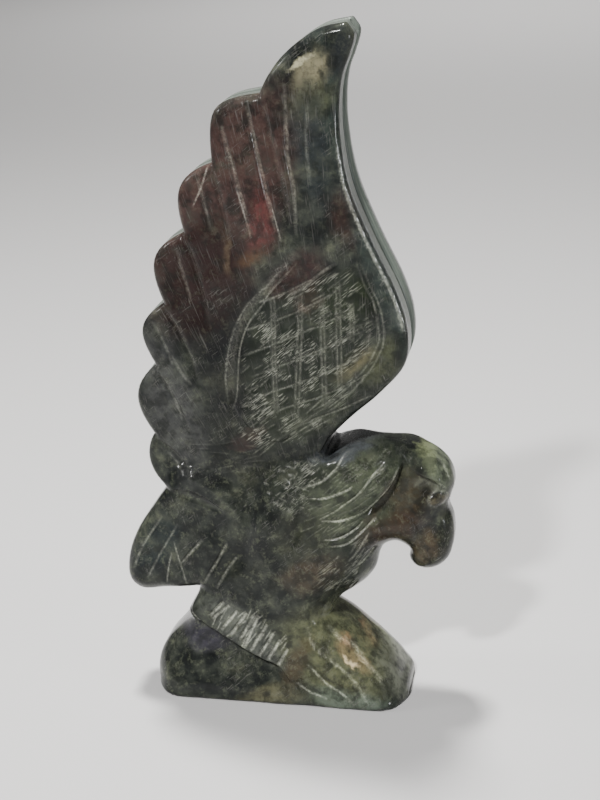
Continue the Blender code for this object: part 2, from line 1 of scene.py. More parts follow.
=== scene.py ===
# %% [markdown]
# # A jasper eagle, carved from one flat block
#
# The real thing was sawn from a slab of mottled green, brown and maroon jasper. A grinding wheel gave it
# its outline, smaller wheels cut the feathers, the locks of the mane and the toes, and a tumbling barrel
# polished all but the bottoms of the cuts, which stayed pale and matte.
#
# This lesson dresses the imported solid, which has the outline and the main carving, with one fine mesh and
# one stone. The mesh is made the way the carver worked: a flat sheet with the bird's outline, whose points
# are then sunk by how deep the wheel went at that place.

import bmesh
import bpy
import numpy as np
from mathutils import Matrix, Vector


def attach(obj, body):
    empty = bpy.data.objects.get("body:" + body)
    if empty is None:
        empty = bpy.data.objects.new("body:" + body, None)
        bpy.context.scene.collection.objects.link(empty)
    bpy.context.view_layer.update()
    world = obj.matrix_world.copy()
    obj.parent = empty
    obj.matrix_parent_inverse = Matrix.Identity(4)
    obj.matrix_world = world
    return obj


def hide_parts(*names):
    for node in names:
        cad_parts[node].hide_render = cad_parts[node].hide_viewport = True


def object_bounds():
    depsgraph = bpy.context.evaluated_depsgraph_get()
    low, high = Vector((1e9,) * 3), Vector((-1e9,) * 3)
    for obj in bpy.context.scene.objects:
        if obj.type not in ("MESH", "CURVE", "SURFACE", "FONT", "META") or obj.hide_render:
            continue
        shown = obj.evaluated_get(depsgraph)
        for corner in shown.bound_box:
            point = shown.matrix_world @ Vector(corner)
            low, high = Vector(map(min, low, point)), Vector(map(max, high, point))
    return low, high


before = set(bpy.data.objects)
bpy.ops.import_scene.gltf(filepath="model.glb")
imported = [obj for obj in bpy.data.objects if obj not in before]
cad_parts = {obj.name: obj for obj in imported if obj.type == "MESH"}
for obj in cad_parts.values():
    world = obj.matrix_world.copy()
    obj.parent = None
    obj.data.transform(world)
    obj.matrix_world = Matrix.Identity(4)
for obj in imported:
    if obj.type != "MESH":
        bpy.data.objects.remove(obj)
solid_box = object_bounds()
HEIGHT = solid_box[1].z
SHARE = HEIGHT / 100
print(f"the solid stands {1000 * HEIGHT:.1f} mm tall")

# %% [markdown]
# ## Helpers for curves and distances
#
# Every shape below is drawn in side view, in hundredths of the height, with X to the bird's front and Z up.
# Three questions are asked of each shape again and again: how far a point lies from a line, whether it lies
# within a loop, and how far along a smooth step it is. They are answered for all points at once with numpy
# arrays, because a loop over a hundred thousand points in plain Python would take minutes.

# %% A smooth curve through a few points, and a smooth step
def curve(points, closed=False, steps=6):
    """A Catmull-Rom curve through the points, in metres."""
    points = np.array(points, float) * SHARE
    if closed:
        before, here, after, beyond = (np.roll(points, shift, axis=0) for shift in (1, 0, -1, -2))
    else:
        ends = np.vstack([2 * points[0] - points[1], points, 2 * points[-1] - points[-2]])
        before, here, after, beyond = ends[:-3], ends[1:-2], ends[2:-1], ends[3:]
    made = []
    for share in np.arange(steps) / steps:
        made.append(0.5 * (
            2 * here + (after - before) * share
            + (2 * before - 5 * here + 4 * after - beyond) * share ** 2
            + (3 * here - before - 3 * after + beyond) * share ** 3
        ))
    made = np.stack(made, axis=1).reshape(-1, 2)
    return made if closed else np.vstack([made, points[-1:]])


def step(value, low, high):
    share = np.clip((value - low) / (high - low), 0, 1)
    return share * share * (3 - 2 * share)


def over(run, place):
    """The smooth step along a stretch of the side view, given in hundredths of the height."""
    return step(place, run[0] * SHARE, run[1] * SHARE)


def mix(first, second, share):
    return first + (second - first) * share


# %% How far points lie from a line, and on which side
def pieces(line, closed=False):
    """The straight pieces of a line, as their starts and spans."""
    ends = np.roll(line, -1, axis=0) if closed else line[1:]
    starts = line if closed else line[:-1]
    return starts, ends - starts


def nearest(points, starts, spans):
    """Distance, nearest place, share of the line before it, and +1 to the line's left or -1 to its right."""
    x, z = np.ascontiguousarray(points.T)
    lengths = np.maximum((spans ** 2).sum(axis=1), 1e-18)
    best = np.full(len(x), np.inf)
    which = np.zeros(len(x), int)
    for number, ((x0, z0), (dx, dz), length) in enumerate(zip(starts, spans, lengths)):
        part = np.clip(((x - x0) * dx + (z - z0) * dz) / length, 0, 1)
        far = (x0 + part * dx - x) ** 2 + (z0 + part * dz - z) ** 2
        which[far < best] = number
        np.minimum(best, far, out=best)
    offset, span = points - starts[which], spans[which]
    part = np.clip((offset * span).sum(axis=1) / lengths[which], 0, 1)
    left = np.sign(span[:, 0] * offset[:, 1] - span[:, 1] * offset[:, 0])
    return np.sqrt(best), starts[which] + part[:, None] * span, (which + part) / len(starts), left


def close_to(points, line, reach):
    return ((points > line.min(axis=0) - reach) & (points < line.max(axis=0) + reach)).all(axis=1)


# %% How far points lie within a closed loop
REACH = 0.012


def inside(points, loop):
    """True where a ray along +X from the point crosses the loop an odd number of times."""
    x, z = np.ascontiguousarray(points.T)
    found = np.zeros(len(x), bool)
    for (x0, z0), (x1, z1) in zip(loop, np.roll(loop, -1, axis=0)):
        if z0 != z1:
            found ^= ((z0 <= z) != (z1 <= z)) & (x < x0 + (z - z0) / (z1 - z0) * (x1 - x0))
    return found


def depth_within(points, loop):
    """How far each point lies within the loop, and below zero outside it."""
    near = close_to(points, loop, REACH)
    depth = np.full(len(points), -REACH)
    away = nearest(points[near], *pieces(loop, closed=True))[0]
    depth[near] = np.where(inside(points[near], loop), away, -away)
    return depth


# %% [markdown]
# ## The silhouette
#
# Four loops overlap to make the outline: the wings, the body with the bowed head, the tail and the rock.
# The wings' back edge is a row of feather ends, each a Bezier curve between two notches, so moving one
# notch keeps the ends round. The other loops are smooth curves through as few points as their shape needs.

# %% The wings' outline
LEADING_EDGE = [
    (12.7, 100.0), (13.7, 98.2), (13.0, 95.6), (12.0, 92.9), (11.5, 89.3), (11.6, 84.2), (12.7, 77.7),
    (15.6, 70.2), (18.9, 63.0), (20.3, 57.7), (19.8, 52.8), (16.3, 48.6), (12.6, 45.3), (8.8, 41.7),
]
TIP_EDGE = [(0.5, 90.7), (1.6, 92.8), (3.5, 95.3), (6.2, 97.6), (9.2, 99.3)]
NOTCHES = [
    (0.4, 90.7), (-6.7, 81.2), (-11.3, 71.3), (-14.9, 60.9), (-16.7, 51.6), (-17.6, 41.0), (-15.8, 32.4),
]
FULLNESS = [0.62, 0.52, 0.54, 0.55, 0.49, 0.41]
UPPER_TURN = np.radians(46)
LOWER_TURN = np.radians(39)
WING_ROOT = [(4.0, 34.0), (-6.0, 28.0)]


def feather_end(start, end, fullness, steps=12):
    """A Bezier curve that turns out of one notch and back into the next."""
    start, end = np.array(start) * SHARE, np.array(end) * SHARE
    along = end - start
    out = np.array([along[1], -along[0]])
    first = start + fullness * (along * np.cos(UPPER_TURN) + out * np.sin(UPPER_TURN))
    second = end + fullness * (-along * np.cos(LOWER_TURN) + out * np.sin(LOWER_TURN))
    share = (np.arange(1, steps + 1) / steps)[:, None]
    return (
        start * (1 - share) ** 3 + 3 * first * share * (1 - share) ** 2
        + 3 * second * share ** 2 * (1 - share) + end * share ** 3
    )


def wing_loop():
    ends = [feather_end(*pair) for pair in zip(NOTCHES, NOTCHES[1:], FULLNESS)]
    tip = curve([*TIP_EDGE, LEADING_EDGE[0]])[:-1]
    root = np.array(WING_ROOT) * SHARE
    return np.vstack([curve(LEADING_EDGE), root, *[end[::-1] for end in ends[::-1]], tip])


print(f"{len(NOTCHES) - 1} feather ends on the wings' back edge")

# %% The body, the tail, the rock and all four together
BODY = [
    (-12.2, 36.0), (-13.5, 26.0), (-12.2, 18.6), (-11.9, 16.6), (-12.8, 14.5), (-13.4, 12.2), (-9.0, 5.0),
    (0.0, 3.0), (7.0, 5.0), (7.6, 12.0), (9.1, 15.0), (11.3, 16.6), (13.2, 18.1), (14.5, 19.9), (15.1, 22.2),
    (16.0, 23.8), (17.7, 24.5), (19.1, 23.9), (19.7, 23.1), (19.6, 21.9), (20.5, 20.6), (22.3, 20.2),
    (24.1, 20.8), (25.5, 22.4), (26.2, 25.2), (26.1, 28.0), (25.4, 30.3), (25.8, 32.0), (26.3, 34.0),
    (25.6, 36.5), (23.5, 38.6), (20.2, 40.0), (16.1, 40.5), (12.4, 40.1), (9.8, 39.0),
    (8.3, 38.5), (7.2, 39.8), (2.0, 43.0), (-6.0, 42.0),
]
TAIL = [
    (-12.0, 36.0), (-16.1, 32.6), (-18.7, 29.2), (-20.9, 26.0), (-22.5, 22.6), (-23.2, 19.4), (-23.0, 17.2),
    (-21.9, 15.9), (-20.2, 15.5), (-17.0, 16.1), (-12.3, 17.1), (-6.0, 18.0), (-4.0, 30.0),
]
ROCK = [
    (-12.0, 13.8), (-13.5, 11.7), (-15.8, 9.3), (-18.0, 6.8), (-19.2, 4.2), (-19.2, 1.2), (-17.8, -4.0),
    (0.0, -6.0), (17.8, -4.0), (19.4, 0.6), (18.2, 2.9), (16.0, 5.8), (13.5, 8.5), (11.0, 10.9), (8.2, 12.8),
    (4.0, 15.0), (-4.0, 16.0),
]
LOOPS = {
    "wing": wing_loop(),
    "body": curve(BODY, closed=True),
    "tail": curve(TAIL, closed=True),
    "rock": curve(ROCK, closed=True),
}


# %% Where the four loops are the stone's outer edge
PIECE = 0.0006


def outer_edge():
    """The stretches of the loops that lie within no other loop, in short pieces."""
    starts, spans = [], []
    for name, loop in LOOPS.items():
        ahead = np.roll(loop, -1, axis=0)
        counts = np.ceil(np.linalg.norm(ahead - loop, axis=1) / PIECE).astype(int)
        fine = np.vstack([
            np.linspace(here, there, count, endpoint=False) for here, there, count in zip(loop, ahead, counts)
        ])
        start, span = pieces(fine, closed=True)
        others = [other for key, other in LOOPS.items() if key != name]
        hidden = np.any([inside(start + span / 2, other) for other in others], axis=0)
        starts.append(start[~hidden])
        spans.append(span[~hidden])
    return np.vstack(starts), np.vstack(spans)


OUTER_EDGE = outer_edge()


def outline(points):
    """How far each point lies within the whole silhouette, and the nearest place on it."""
    away, place, _, _ = nearest(points, *OUTER_EDGE)
    held = np.any([inside(points, loop) for loop in LOOPS.values()], axis=0)
    return np.where(held, away, -away), place


print(f"{len(OUTER_EDGE[0])} short pieces make the outer edge")

# %% [markdown]
# ## The broad relief
#
# Seen from the front the stone is thin at the feather ends, thicker along the wings' leading edge, and
# thickest at the breast and the rock. Each area states its own depth through the stone and how far its
# outer edge is rounded, and one area gives way to the next over a named width. That is the same relief as
# the solid's, so the fine mesh keeps to it.

# %% Depths and roundings in metres, and the areas they hold in
WING_DEPTH = 0.020
TIP_DEPTH = 0.016
FEATHER_DEPTH = 0.0145
BODY_DEPTH = 0.025
NECK_DEPTH = 0.022
HEAD_DEPTH = 0.018
BEAK_DEPTH = 0.012
TAIL_DEPTH = 0.016
TAIL_ROOT_DEPTH = 0.023
ROCK_DEPTH = 0.0335
ROCK_BACK_DEPTH = 0.030
ROCK_HOLLOW = 0.0022
PANEL_RAISE = 0.0006
THIGH_RAISE = 0.0012
MERGE = 0.0040
CRISP = 0.0010
WING_ROUND = 0.0022
LEADING_ROUND = 0.0014
BODY_ROUND = 0.0105
HEAD_ROUND = 0.0075
BEAK_ROUND = 0.0042
TAIL_ROUND = 0.0040
ROCK_ROUND = 0.0080
BASE_ROUND = 0.0012
PANEL = [
    (5.0, 67.6), (2.6, 65.2), (0.2, 62.2), (-2.2, 58.4), (-3.6, 54.6), (-4.3, 49.6), (-4.4, 45.0),
    (0.8, 41.0), (6.5, 45.0), (12.2, 49.8), (15.8, 54.6), (16.6, 59.0), (15.6, 62.6), (13.6, 67.6),
    (10.0, 69.6),
]
BREAST = [
    (8.8, 41.0), (4.0, 37.6), (-0.5, 35.6), (-3.0, 32.0), (-5.5, 27.5), (-8.0, 22.5), (-11.5, 18.0),
    (-16.0, 15.5), (-15.5, 11.5), (-2.0, 4.0), (8.0, 2.0), (20.0, 14.0), (21.0, 30.0), (19.0, 43.0),
]
THIGH = [(-5.0, 27.0), (-3.6, 32.5), (-0.5, 34.6), (2.6, 31.5), (3.4, 26.0), (1.5, 19.0), (-2.5, 18.0)]
FACE = [
    (12.6, 28.2), (14.6, 31.2), (16.8, 33.6), (18.4, 36.2), (19.8, 38.6), (23.0, 42.0), (30.0, 38.0),
    (30.0, 18.0), (18.0, 18.0), (14.6, 24.0),
]
BEAK = [
    (28.0, 32.0), (24.8, 30.4), (22.6, 29.2), (21.1, 27.2), (20.3, 24.4), (17.0, 20.0), (24.0, 16.0),
    (30.0, 22.0),
]
HOLLOW = [
    (-15.0, 15.5), (-12.6, 13.6), (-10.2, 11.6), (-5.7, 8.8), (-2.3, 7.1), (0.9, 5.6), (2.0, 1.0),
    (-8.0, -6.0), (-26.0, -6.0), (-26.0, 10.0),
]
AREAS = {
    "panel": curve(PANEL, closed=True),
    "breast": curve(BREAST, closed=True),
    "thigh": curve(THIGH, closed=True),
    "face": curve(FACE, closed=True),
    "beak": curve(BEAK, closed=True),
    "hollow": curve(HOLLOW, closed=True),
    "tail": LOOPS["tail"],
    "rock": LOOPS["rock"],
}


def amount(points, area, softness):
    """1 well within an area, 0 well outside it."""
    return step(depth_within(points, AREAS[area]), -softness / 2, softness / 2)


# %% Half the stone's depth at each point
TIGHT_NOTCHES = [(8.0, 39.6), (-12.4, 13.9), (-15.8, 32.4)]
TIGHT_ROUND = 0.0014
TIGHT_RUN = (0, 8)
FEATHER_RUN = (0, 28)
PANEL_FADE = (60, 66)
SHARP_FOOT = (52, 60)
SHARP_HEAD = (78, 88)
TIP_RUN = (75, 100)
NECK_RUN = (4, 19)
TAIL_RUN = (-20, -6)
ROCK_RUN = (-19, 19)
ROCK_RISE = (0, 16)
HOLLOW_RISE = (0, 8)


def broad_relief(points):
    """Half the depth, and the radius that the outer edge is rounded to."""
    x, z = points.T
    from_front = nearest(points, *pieces(curve(LEADING_EDGE, steps=2)))[0]
    half = mix(WING_DEPTH, FEATHER_DEPTH, over(FEATHER_RUN, from_front)) / 2
    half = half * mix(1, TIP_DEPTH / WING_DEPTH, over(TIP_RUN, z))
    sharp = step(-from_front, -2 * WING_ROUND, -WING_ROUND) * over(SHARP_FOOT, z) * (1 - over(SHARP_HEAD, z))
    edge = mix(WING_ROUND, LEADING_ROUND, sharp)
    breast = mix(BODY_DEPTH, NECK_DEPTH, over(NECK_RUN, x))
    tail = mix(TAIL_DEPTH, TAIL_ROOT_DEPTH, over(TAIL_RUN, x))
    rock = mix(mix(ROCK_BACK_DEPTH, ROCK_DEPTH, over(ROCK_RUN, x)), BODY_DEPTH, over(ROCK_RISE, z))
    for name, depth, radius, softness in (
        ("tail", tail, TAIL_ROUND, MERGE),
        ("breast", breast, BODY_ROUND, 3.5 * MERGE),
        ("rock", rock, ROCK_ROUND, 2 * MERGE),
        ("face", HEAD_DEPTH, HEAD_ROUND, 2 * MERGE),
        ("beak", BEAK_DEPTH, BEAK_ROUND, 1.5 * MERGE),
    ):
        share = amount(points, name, softness)
        half = mix(half, depth / 2, share)
        edge = mix(edge, radius, share)
    half = half + PANEL_RAISE * amount(points, "panel", CRISP) * (1 - over(PANEL_FADE, z))
    half = half + THIGH_RAISE * step(depth_within(points, AREAS["thigh"]), 0, 2 * MERGE)
    half = half - ROCK_HOLLOW * amount(points, "hollow", CRISP) * over(HOLLOW_RISE, z)
    for notch in TIGHT_NOTCHES:
        away = np.linalg.norm(points - np.array(notch) * SHARE, axis=1)
        edge = mix(TIGHT_ROUND, edge, over(TIGHT_RUN, away))
    return half, np.minimum(edge, 0.92 * half)


print(f"{len(AREAS)} areas of relief")

# %% [markdown]
# ## Ledges and swellings
#
# A feather lies over the next one, and so does each lock of the mane. A carver shows that with a ledge: the
# stone is left high along one side of a line and falls away slowly from it, and it is cut down on the other
# side. Swellings and hollows are softer still: an oval rise or dip, for the thigh, the brow, the eye's
# socket and the cheek.

# %% Ledges: a line, how high its left side stands over its right, and how far that reaches either way
# Where one feather ends over the next, from each notch inwards
FEATHER_EDGES = [
    [(0.4, 90.7), (1.7, 87.2), (2.6, 82.6), (3.4, 78.7), (4.3, 74.7)],
    [(-6.7, 81.2), (-5.6, 77.5), (-4.9, 73.7)],
    [(-11.3, 71.3), (-10.0, 68.0), (-8.8, 62.8)],
    [(-14.9, 60.9), (-12.5, 56.8), (-10.9, 52.7)],
    [(-16.7, 51.6), (-14.6, 48.2), (-12.8, 44.6)],
    [(-17.6, 41.0), (-14.2, 38.3)],
]
LEDGES = [
    # feathers over feathers
    ([*FEATHER_EDGES[0], (4.6, 70.1)], 0.0006, 0.0060, 0.0060),
    ([*FEATHER_EDGES[1], (-4.0, 68.0)], 0.0008, 0.0060, 0.0060),
    ([*FEATHER_EDGES[2], (-8.3, 59.8), (-7.8, 56.0)], 0.0008, 0.0060, 0.0060),
    ([*FEATHER_EDGES[3], (-9.8, 48.0)], 0.0009, 0.0060, 0.0060),
    ([*FEATHER_EDGES[4], (-11.6, 41.0)], 0.0009, 0.0060, 0.0060),
    ([*FEATHER_EDGES[5], (-12.4, 36.0), (-11.5, 33.6)], 0.0008, 0.0050, 0.0050),
    # the wings over the tail
    ([(-15.8, 32.4), (-13.6, 33.0), (-11.0, 32.6), (-7.8, 30.8), (-6.0, 28.4)], 0.0010, 0.0050, 0.0040),
    # locks of the mane, each over the one below
    ([(12.9, 40.0), (10.6, 38.2), (7.9, 35.8), (4.3, 34.4)], 0.0008, 0.0045, 0.0030),
    ([(12.2, 35.0), (11.4, 34.4), (8.3, 33.2), (5.5, 32.9)], 0.0007, 0.0030, 0.0020),
    ([(17.0, 37.8), (15.3, 36.7), (13.1, 33.9), (10.9, 32.1), (7.2, 29.7)], 0.0008, 0.0040, 0.0020),
    ([(12.6, 30.2), (10.1, 29.5), (7.5, 29.5)], 0.0006, 0.0030, 0.0020),
    ([(13.4, 29.2), (12.4, 28.0), (10.1, 26.8), (7.6, 26.4)], 0.0007, 0.0030, 0.0020),
    ([(15.2, 29.6), (13.7, 27.9), (11.2, 25.9), (8.7, 25.4)], 0.0007, 0.0030, 0.0020),
    ([(14.8, 28.2), (14.3, 27.4), (12.6, 24.5), (11.2, 22.8)], 0.0006, 0.0030, 0.0020),
    ([(15.0, 24.6), (13.4, 22.6), (11.6, 21.4)], 0.0005, 0.0030, 0.0020),
]
# Gouges that undercut the line's right side only: a line, depth, and reach at its start and end
GOUGES = [
    ([(13.2, 30.0), (15.4, 32.2), (17.3, 34.6), (18.5, 36.8), (19.2, 38.4)], 0.0026, 0.0036, 0.0014),
    ([(18.8, 39.6), (19.7, 38.2), (20.9, 36.9), (22.2, 36.0), (23.6, 35.3), (24.7, 34.4)],
     0.0010, 0.0016, 0.0020),
]


def ledges(points):
    """How far the stone stands above the broad relief along the ledges and gouges."""
    rise = np.zeros(len(points))
    for line, height, high_reach, low_reach in LEDGES:
        path = curve(line)
        near = close_to(points, path, 2 * high_reach)
        away, _, share, left = nearest(points[near], *pieces(path))
        ends = step(share, 0, 0.12) * step(1 - share, 0, 0.5)
        reach = np.where(left > 0, high_reach, low_reach)
        fade = np.exp(-away / reach) * step(2 * reach - away, 0, reach)
        rise[near] += height * ends * fade * np.clip(left * away / (0.25 * CRISP), -1, 1) / 2
    for line, depth, first_reach, last_reach in GOUGES:
        path = curve(line)
        near = close_to(points, path, 4 * max(first_reach, last_reach))
        away, _, share, left = nearest(points[near], *pieces(path))
        ends = step(share, 0, 0.15) * step(1 - share, 0, 0.2)
        reach = mix(first_reach, last_reach, share)
        rise[near] -= depth * ends * np.exp(-((away / reach) ** 2)) * (left < 0) * step(away, 0, 0.5 * CRISP)
    return rise


# %% Swellings and hollows: centre, half length, half width, turn in degrees, and rise in metres
SWELLINGS = {
    "thigh": ((-0.6, 27.0), 6.5, 3.2, 75, 0.0010),
    "cleft before the thigh": ((3.9, 28.2), 3.4, 1.0, 68, -0.0016),
    "hollow behind the thigh": ((-5.2, 23.2), 3.4, 1.8, 50, -0.0012),
    "facet of the tail root": ((-9.8, 28.4), 3.6, 2.6, 130, -0.0010),
    "dip between wing and neck": ((1.5, 37.6), 6.0, 2.0, 20, -0.0008),
    "neck": ((12.0, 35.5), 6.0, 3.5, 25, 0.0008),
    "cheek": ((17.6, 27.4), 2.8, 2.2, 30, 0.0010),
    "socket": ((22.6, 34.2), 1.9, 1.2, -20, -0.0020),
    "brow": ((24.6, 35.3), 2.0, 0.7, -48, 0.0010),
    "eyeball": ((24.3, 32.3), 1.3, 1.3, 0, 0.0006),
    "cheekbone": ((21.6, 30.4), 2.4, 1.2, 60, 0.0006),
    "hook": ((23.4, 24.8), 3.6, 2.4, 80, 0.0008),
    "foot": ((9.0, 8.6), 9.0, 4.6, -38, 0.0010),
}


def swellings(points):
    rise = np.zeros(len(points))
    for (x, z), length, width, turn, height in SWELLINGS.values():
        offset = (points / SHARE - (x, z)) @ np.array([
            [np.cos(np.radians(turn)), -np.sin(np.radians(turn))],
            [np.sin(np.radians(turn)), np.cos(np.radians(turn))],
        ])
        rise += height * np.exp(-((offset / (length, width)) ** 2).sum(axis=1))
    return rise


print(f"{len(LEDGES)} ledges and {len(SWELLINGS)} swellings")

# %% [markdown]
# ## The cuts
#
# The fine carving is single passes of a small wheel. Each pass starts and ends shallow, so a cut tapers at
# both ends. The cuts come in families that share a width, a depth and how pale the bottom was left: broad
# flutes on the long feathers, thin borders, the lattice on the wing's shoulder, strokes on the neck, tail,
# leg and toes.

# %% Long cuts that were drawn one by one
FLUTES = [
    [(-4.8, 86.5), (-4.0, 82.9), (-3.0, 79.2), (-2.0, 75.0), (-1.4, 71.2)],
    [(-1.1, 89.2), (-0.4, 85.4), (0.5, 80.8), (1.4, 76.2), (2.3, 71.8)],
    [(4.2, 92.1), (4.4, 82.6), (5.1, 77.9), (5.1, 71.3)],
]
FAINT_FLUTES = [
    [(-16.6, 58.4), (-15.1, 55.3), (-13.7, 51.6)], [(-14.3, 53.6), (-12.6, 50.7), (-11.2, 49.0)],
    [(-15.2, 49.4), (-14.0, 46.6), (-12.9, 43.4)], [(-12.4, 69.4), (-11.6, 65.8), (-10.6, 61.4)],
    [(-14.0, 60.2), (-12.2, 56.2), (-10.4, 51.6)], [(-8.6, 79.4), (-7.8, 75.6), (-7.0, 71.6)],
    [(7.4, 90.0), (7.0, 84.5), (7.5, 78.5)], [(-15.6, 38.4), (-14.0, 36.6), (-13.0, 35.2)],
]
# A shallow cut at the foot of each feather's ledge ends a little before or beside the ledge
PARTING_ENDS = [(4.6, 70.1), (-4.3, 70.0), (-8.1, 57.4), (-10.0, 48.6), (-11.8, 41.4), (-12.0, 35.2)]
PARTINGS = [[*edge, end] for edge, end in zip(FEATHER_EDGES, PARTING_ENDS)]
PARTINGS.append([(-15.8, 32.4), (-11.8, 31.7), (-7.2, 30.0)])
COVERT_BAND = [(5.2, 69.0), (2.9, 66.4), (0.2, 63.4), (-2.4, 60.0), (-4.4, 56.2), (-5.2, 51.6), (-5.2, 46.6)]
BORDERS = [
    [(4.7, 68.3), (2.7, 66.3), (0.7, 64.0), (-2.1, 61.5), (-4.1, 58.3), (-5.5, 54.2), (-6.1, 49.9),
     (-5.8, 46.5)],
    [(5.0, 67.4), (1.3, 63.5), (-0.2, 61.2), (-2.4, 58.3), (-3.6, 55.2), (-4.1, 51.6), (-4.5, 47.6),
     (-5.3, 45.3)],
    [(13.5, 67.7), (14.4, 64.8), (15.8, 62.0), (16.3, 59.1), (16.4, 56.8), (15.8, 55.1), (14.5, 52.8),
     (12.1, 50.0), (9.5, 47.4), (6.5, 45.2), (0.8, 41.0)],
    [(14.1, 67.7), (15.1, 64.8), (16.4, 62.0), (17.0, 59.1), (17.0, 56.6), (16.4, 54.6), (15.1, 52.3),
     (12.7, 49.4), (10.1, 46.8), (7.1, 44.5)],
]
MANE = [
    [(4.3, 34.4), (7.7, 35.6), (10.0, 37.8), (11.1, 39.5), (13.0, 40.6)],
    [(5.5, 32.9), (8.3, 33.2), (11.4, 34.4), (12.2, 35.0)],
    [(7.2, 29.7), (9.5, 31.0), (10.9, 32.1), (13.1, 33.9), (15.3, 36.7), (17.0, 37.6)],
    [(7.5, 29.5), (10.1, 29.5), (12.6, 30.2), (13.8, 30.9)],
    [(7.6, 26.4), (10.1, 26.8), (12.4, 28.0), (13.4, 29.2)],
    [(8.7, 25.4), (11.2, 25.9), (13.7, 27.9), (15.2, 29.6)],
    [(11.2, 22.8), (12.6, 24.5), (14.3, 27.4)], [(11.6, 21.4), (13.4, 22.6), (15.0, 24.6)],
]
MANE_LIP = [(13.4, 30.5), (15.6, 32.6), (17.5, 34.9), (18.6, 37.3)]
TAIL_CUTS = [
    [(-16.8, 28.4), (-20.3, 23.2), (-22.1, 19.3)], [(-14.4, 27.4), (-17.8, 21.8), (-19.9, 17.9)],
    [(-10.6, 25.3), (-12.6, 23.0), (-14.6, 20.4)], [(-6.7, 25.3), (-8.4, 22.2), (-10.8, 18.3)],
    [(-5.5, 22.9), (-7.2, 20.4), (-8.8, 17.7)],
]
SCRATCHES = [
    [(-15.7, 22.7), (-16.4, 20.0), (-16.8, 17.5)], [(-15.3, 24.5), (-14.4, 20.8), (-13.5, 17.5)],
    [(-6.9, 81.4), (-8.1, 78.0), (-9.5, 75.1)], [(23.8, 38.2), (25.0, 36.8), (25.8, 34.8)],
    [(24.0, 35.0), (24.7, 34.5), (25.3, 33.8)], [(-17.2, 8.0), (-16.4, 10.2), (-15.2, 12.2)],
    [(-2.9, 77.6), (-2.1, 74.2), (-1.3, 70.8)], [(1.6, 76.4), (2.4, 73.0), (3.0, 70.4)],
]
TOES = [
    [(4.8, 12.6), (5.6, 10.0), (7.6, 8.1), (9.8, 6.7), (12.4, 3.9), (14.0, 1.0)],
    [(7.6, 12.0), (9.5, 10.3), (11.5, 9.1), (12.9, 7.2), (15.2, 4.7), (16.3, 2.7)],
    [(12.4, 10.6), (14.3, 8.9), (16.0, 7.5), (17.1, 5.5), (17.4, 4.8)],
    [(4.8, 7.0), (7.3, 4.4), (10.1, 2.5), (11.8, 1.0)], [(3.1, 3.9), (5.3, 2.3), (7.9, 1.6)],
]
LEG_STROKES = [
    [(-7.6, 15.9), (-9.9, 13.4)], [(-6.8, 15.3), (-9.6, 12.9)], [(-5.6, 14.5), (-8.2, 11.3)],
    [(-4.2, 14.3), (-6.8, 10.5)], [(-3.1, 14.0), (-5.4, 9.8)], [(-2.4, 14.0), (-4.8, 8.6)],
    [(-1.1, 12.6), (-3.7, 8.4)], [(-0.2, 11.2), (-2.5, 7.5)], [(0.8, 10.3), (-1.1, 7.1)],
    [(2.0, 9.1), (0.4, 6.3)],
]
LEG_HEM = [(-12.7, 13.8), (-12.5, 12.7), (-10.2, 11.6), (-5.7, 8.8), (-2.3, 7.1), (0.9, 5.6)]
# A pale line a little way in from the outline of the wings' sharp front edge is a painted highlight
HIGHLIGHT_INSET = 0.45
PAINTED_HIGHLIGHT_EDGE = [(x - HIGHLIGHT_INSET, z) for x, z in LEADING_EDGE[5:10]]
MOUTH = [(20.3, 24.0), (21.0, 26.4), (20.7, 28.7), (19.2, 30.2)]
EYE = (24.2, 32.3)
EYE_RADIUS = 0.0023
EYE_RING_WIDTH = 0.0004
EYE_RING_DEPTH = 0.0004
EYE_RING_PALENESS = 0.35
drawn = FLUTES + FAINT_FLUTES + PARTINGS + BORDERS + MANE + TAIL_CUTS + SCRATCHES + TOES + LEG_STROKES
print(f"{len(drawn)} drawn cuts")

# %% The lattice on the shoulder, and short strokes that fill an area at one slope
LATTICE_UPRIGHTS = [
    ((1.4, 62.5), (1.3, 45.0)), ((5.5, 63.6), (4.2, 44.5)), ((8.4, 62.8), (8.4, 46.6)),
    ((10.8, 65.4), (10.7, 49.2)), ((12.6, 61.9), (12.5, 56.4)),
]
UPRIGHT_GAP = 0.24
LATTICE_TOP = [(3.2, 62.6), (5.8, 63.9), (8.2, 66.0), (10.7, 67.6)]
LATTICE_CENTRE = (6.0, 54.5)
LATTICE_REACH = (9.0, 11.0)
LATTICE_SLOPE = np.radians(24)
LATTICE_PITCH = 0.0056
chance = np.random.RandomState(11)


def lattice_uprights():
    """Each upright is two passes side by side."""
    lines = []
    for top, foot in LATTICE_UPRIGHTS:
        for side in (-UPRIGHT_GAP, UPRIGHT_GAP):
            bend = chance.uniform(-0.15, 0.15)
            middle = ((top[0] + foot[0]) / 2 + side + bend, (top[1] + foot[1]) / 2)
            lines.append([(top[0] + side, top[1] + bend), middle, (foot[0] + side, foot[1] - bend)])
    return lines


def lattice_slants():
    centre, reach = np.array(LATTICE_CENTRE), np.array(LATTICE_REACH)
    along = np.array([np.cos(LATTICE_SLOPE), np.sin(LATTICE_SLOPE)])
    across = np.array([-along[1], along[0]])
    pitch = LATTICE_PITCH / SHARE
    count = int(reach[1] / pitch)
    lines = []
    for row in range(-count, count + 1):
        middle = centre + across * (row * pitch + chance.uniform(-0.2, 0.2))
        half = reach[0] * np.sqrt(1 - (row / (count + 1)) ** 2)
        bend = across * chance.uniform(0.1, 0.5)
        lines.append([middle - along * half, middle - bend, middle + along * half])
    return lines


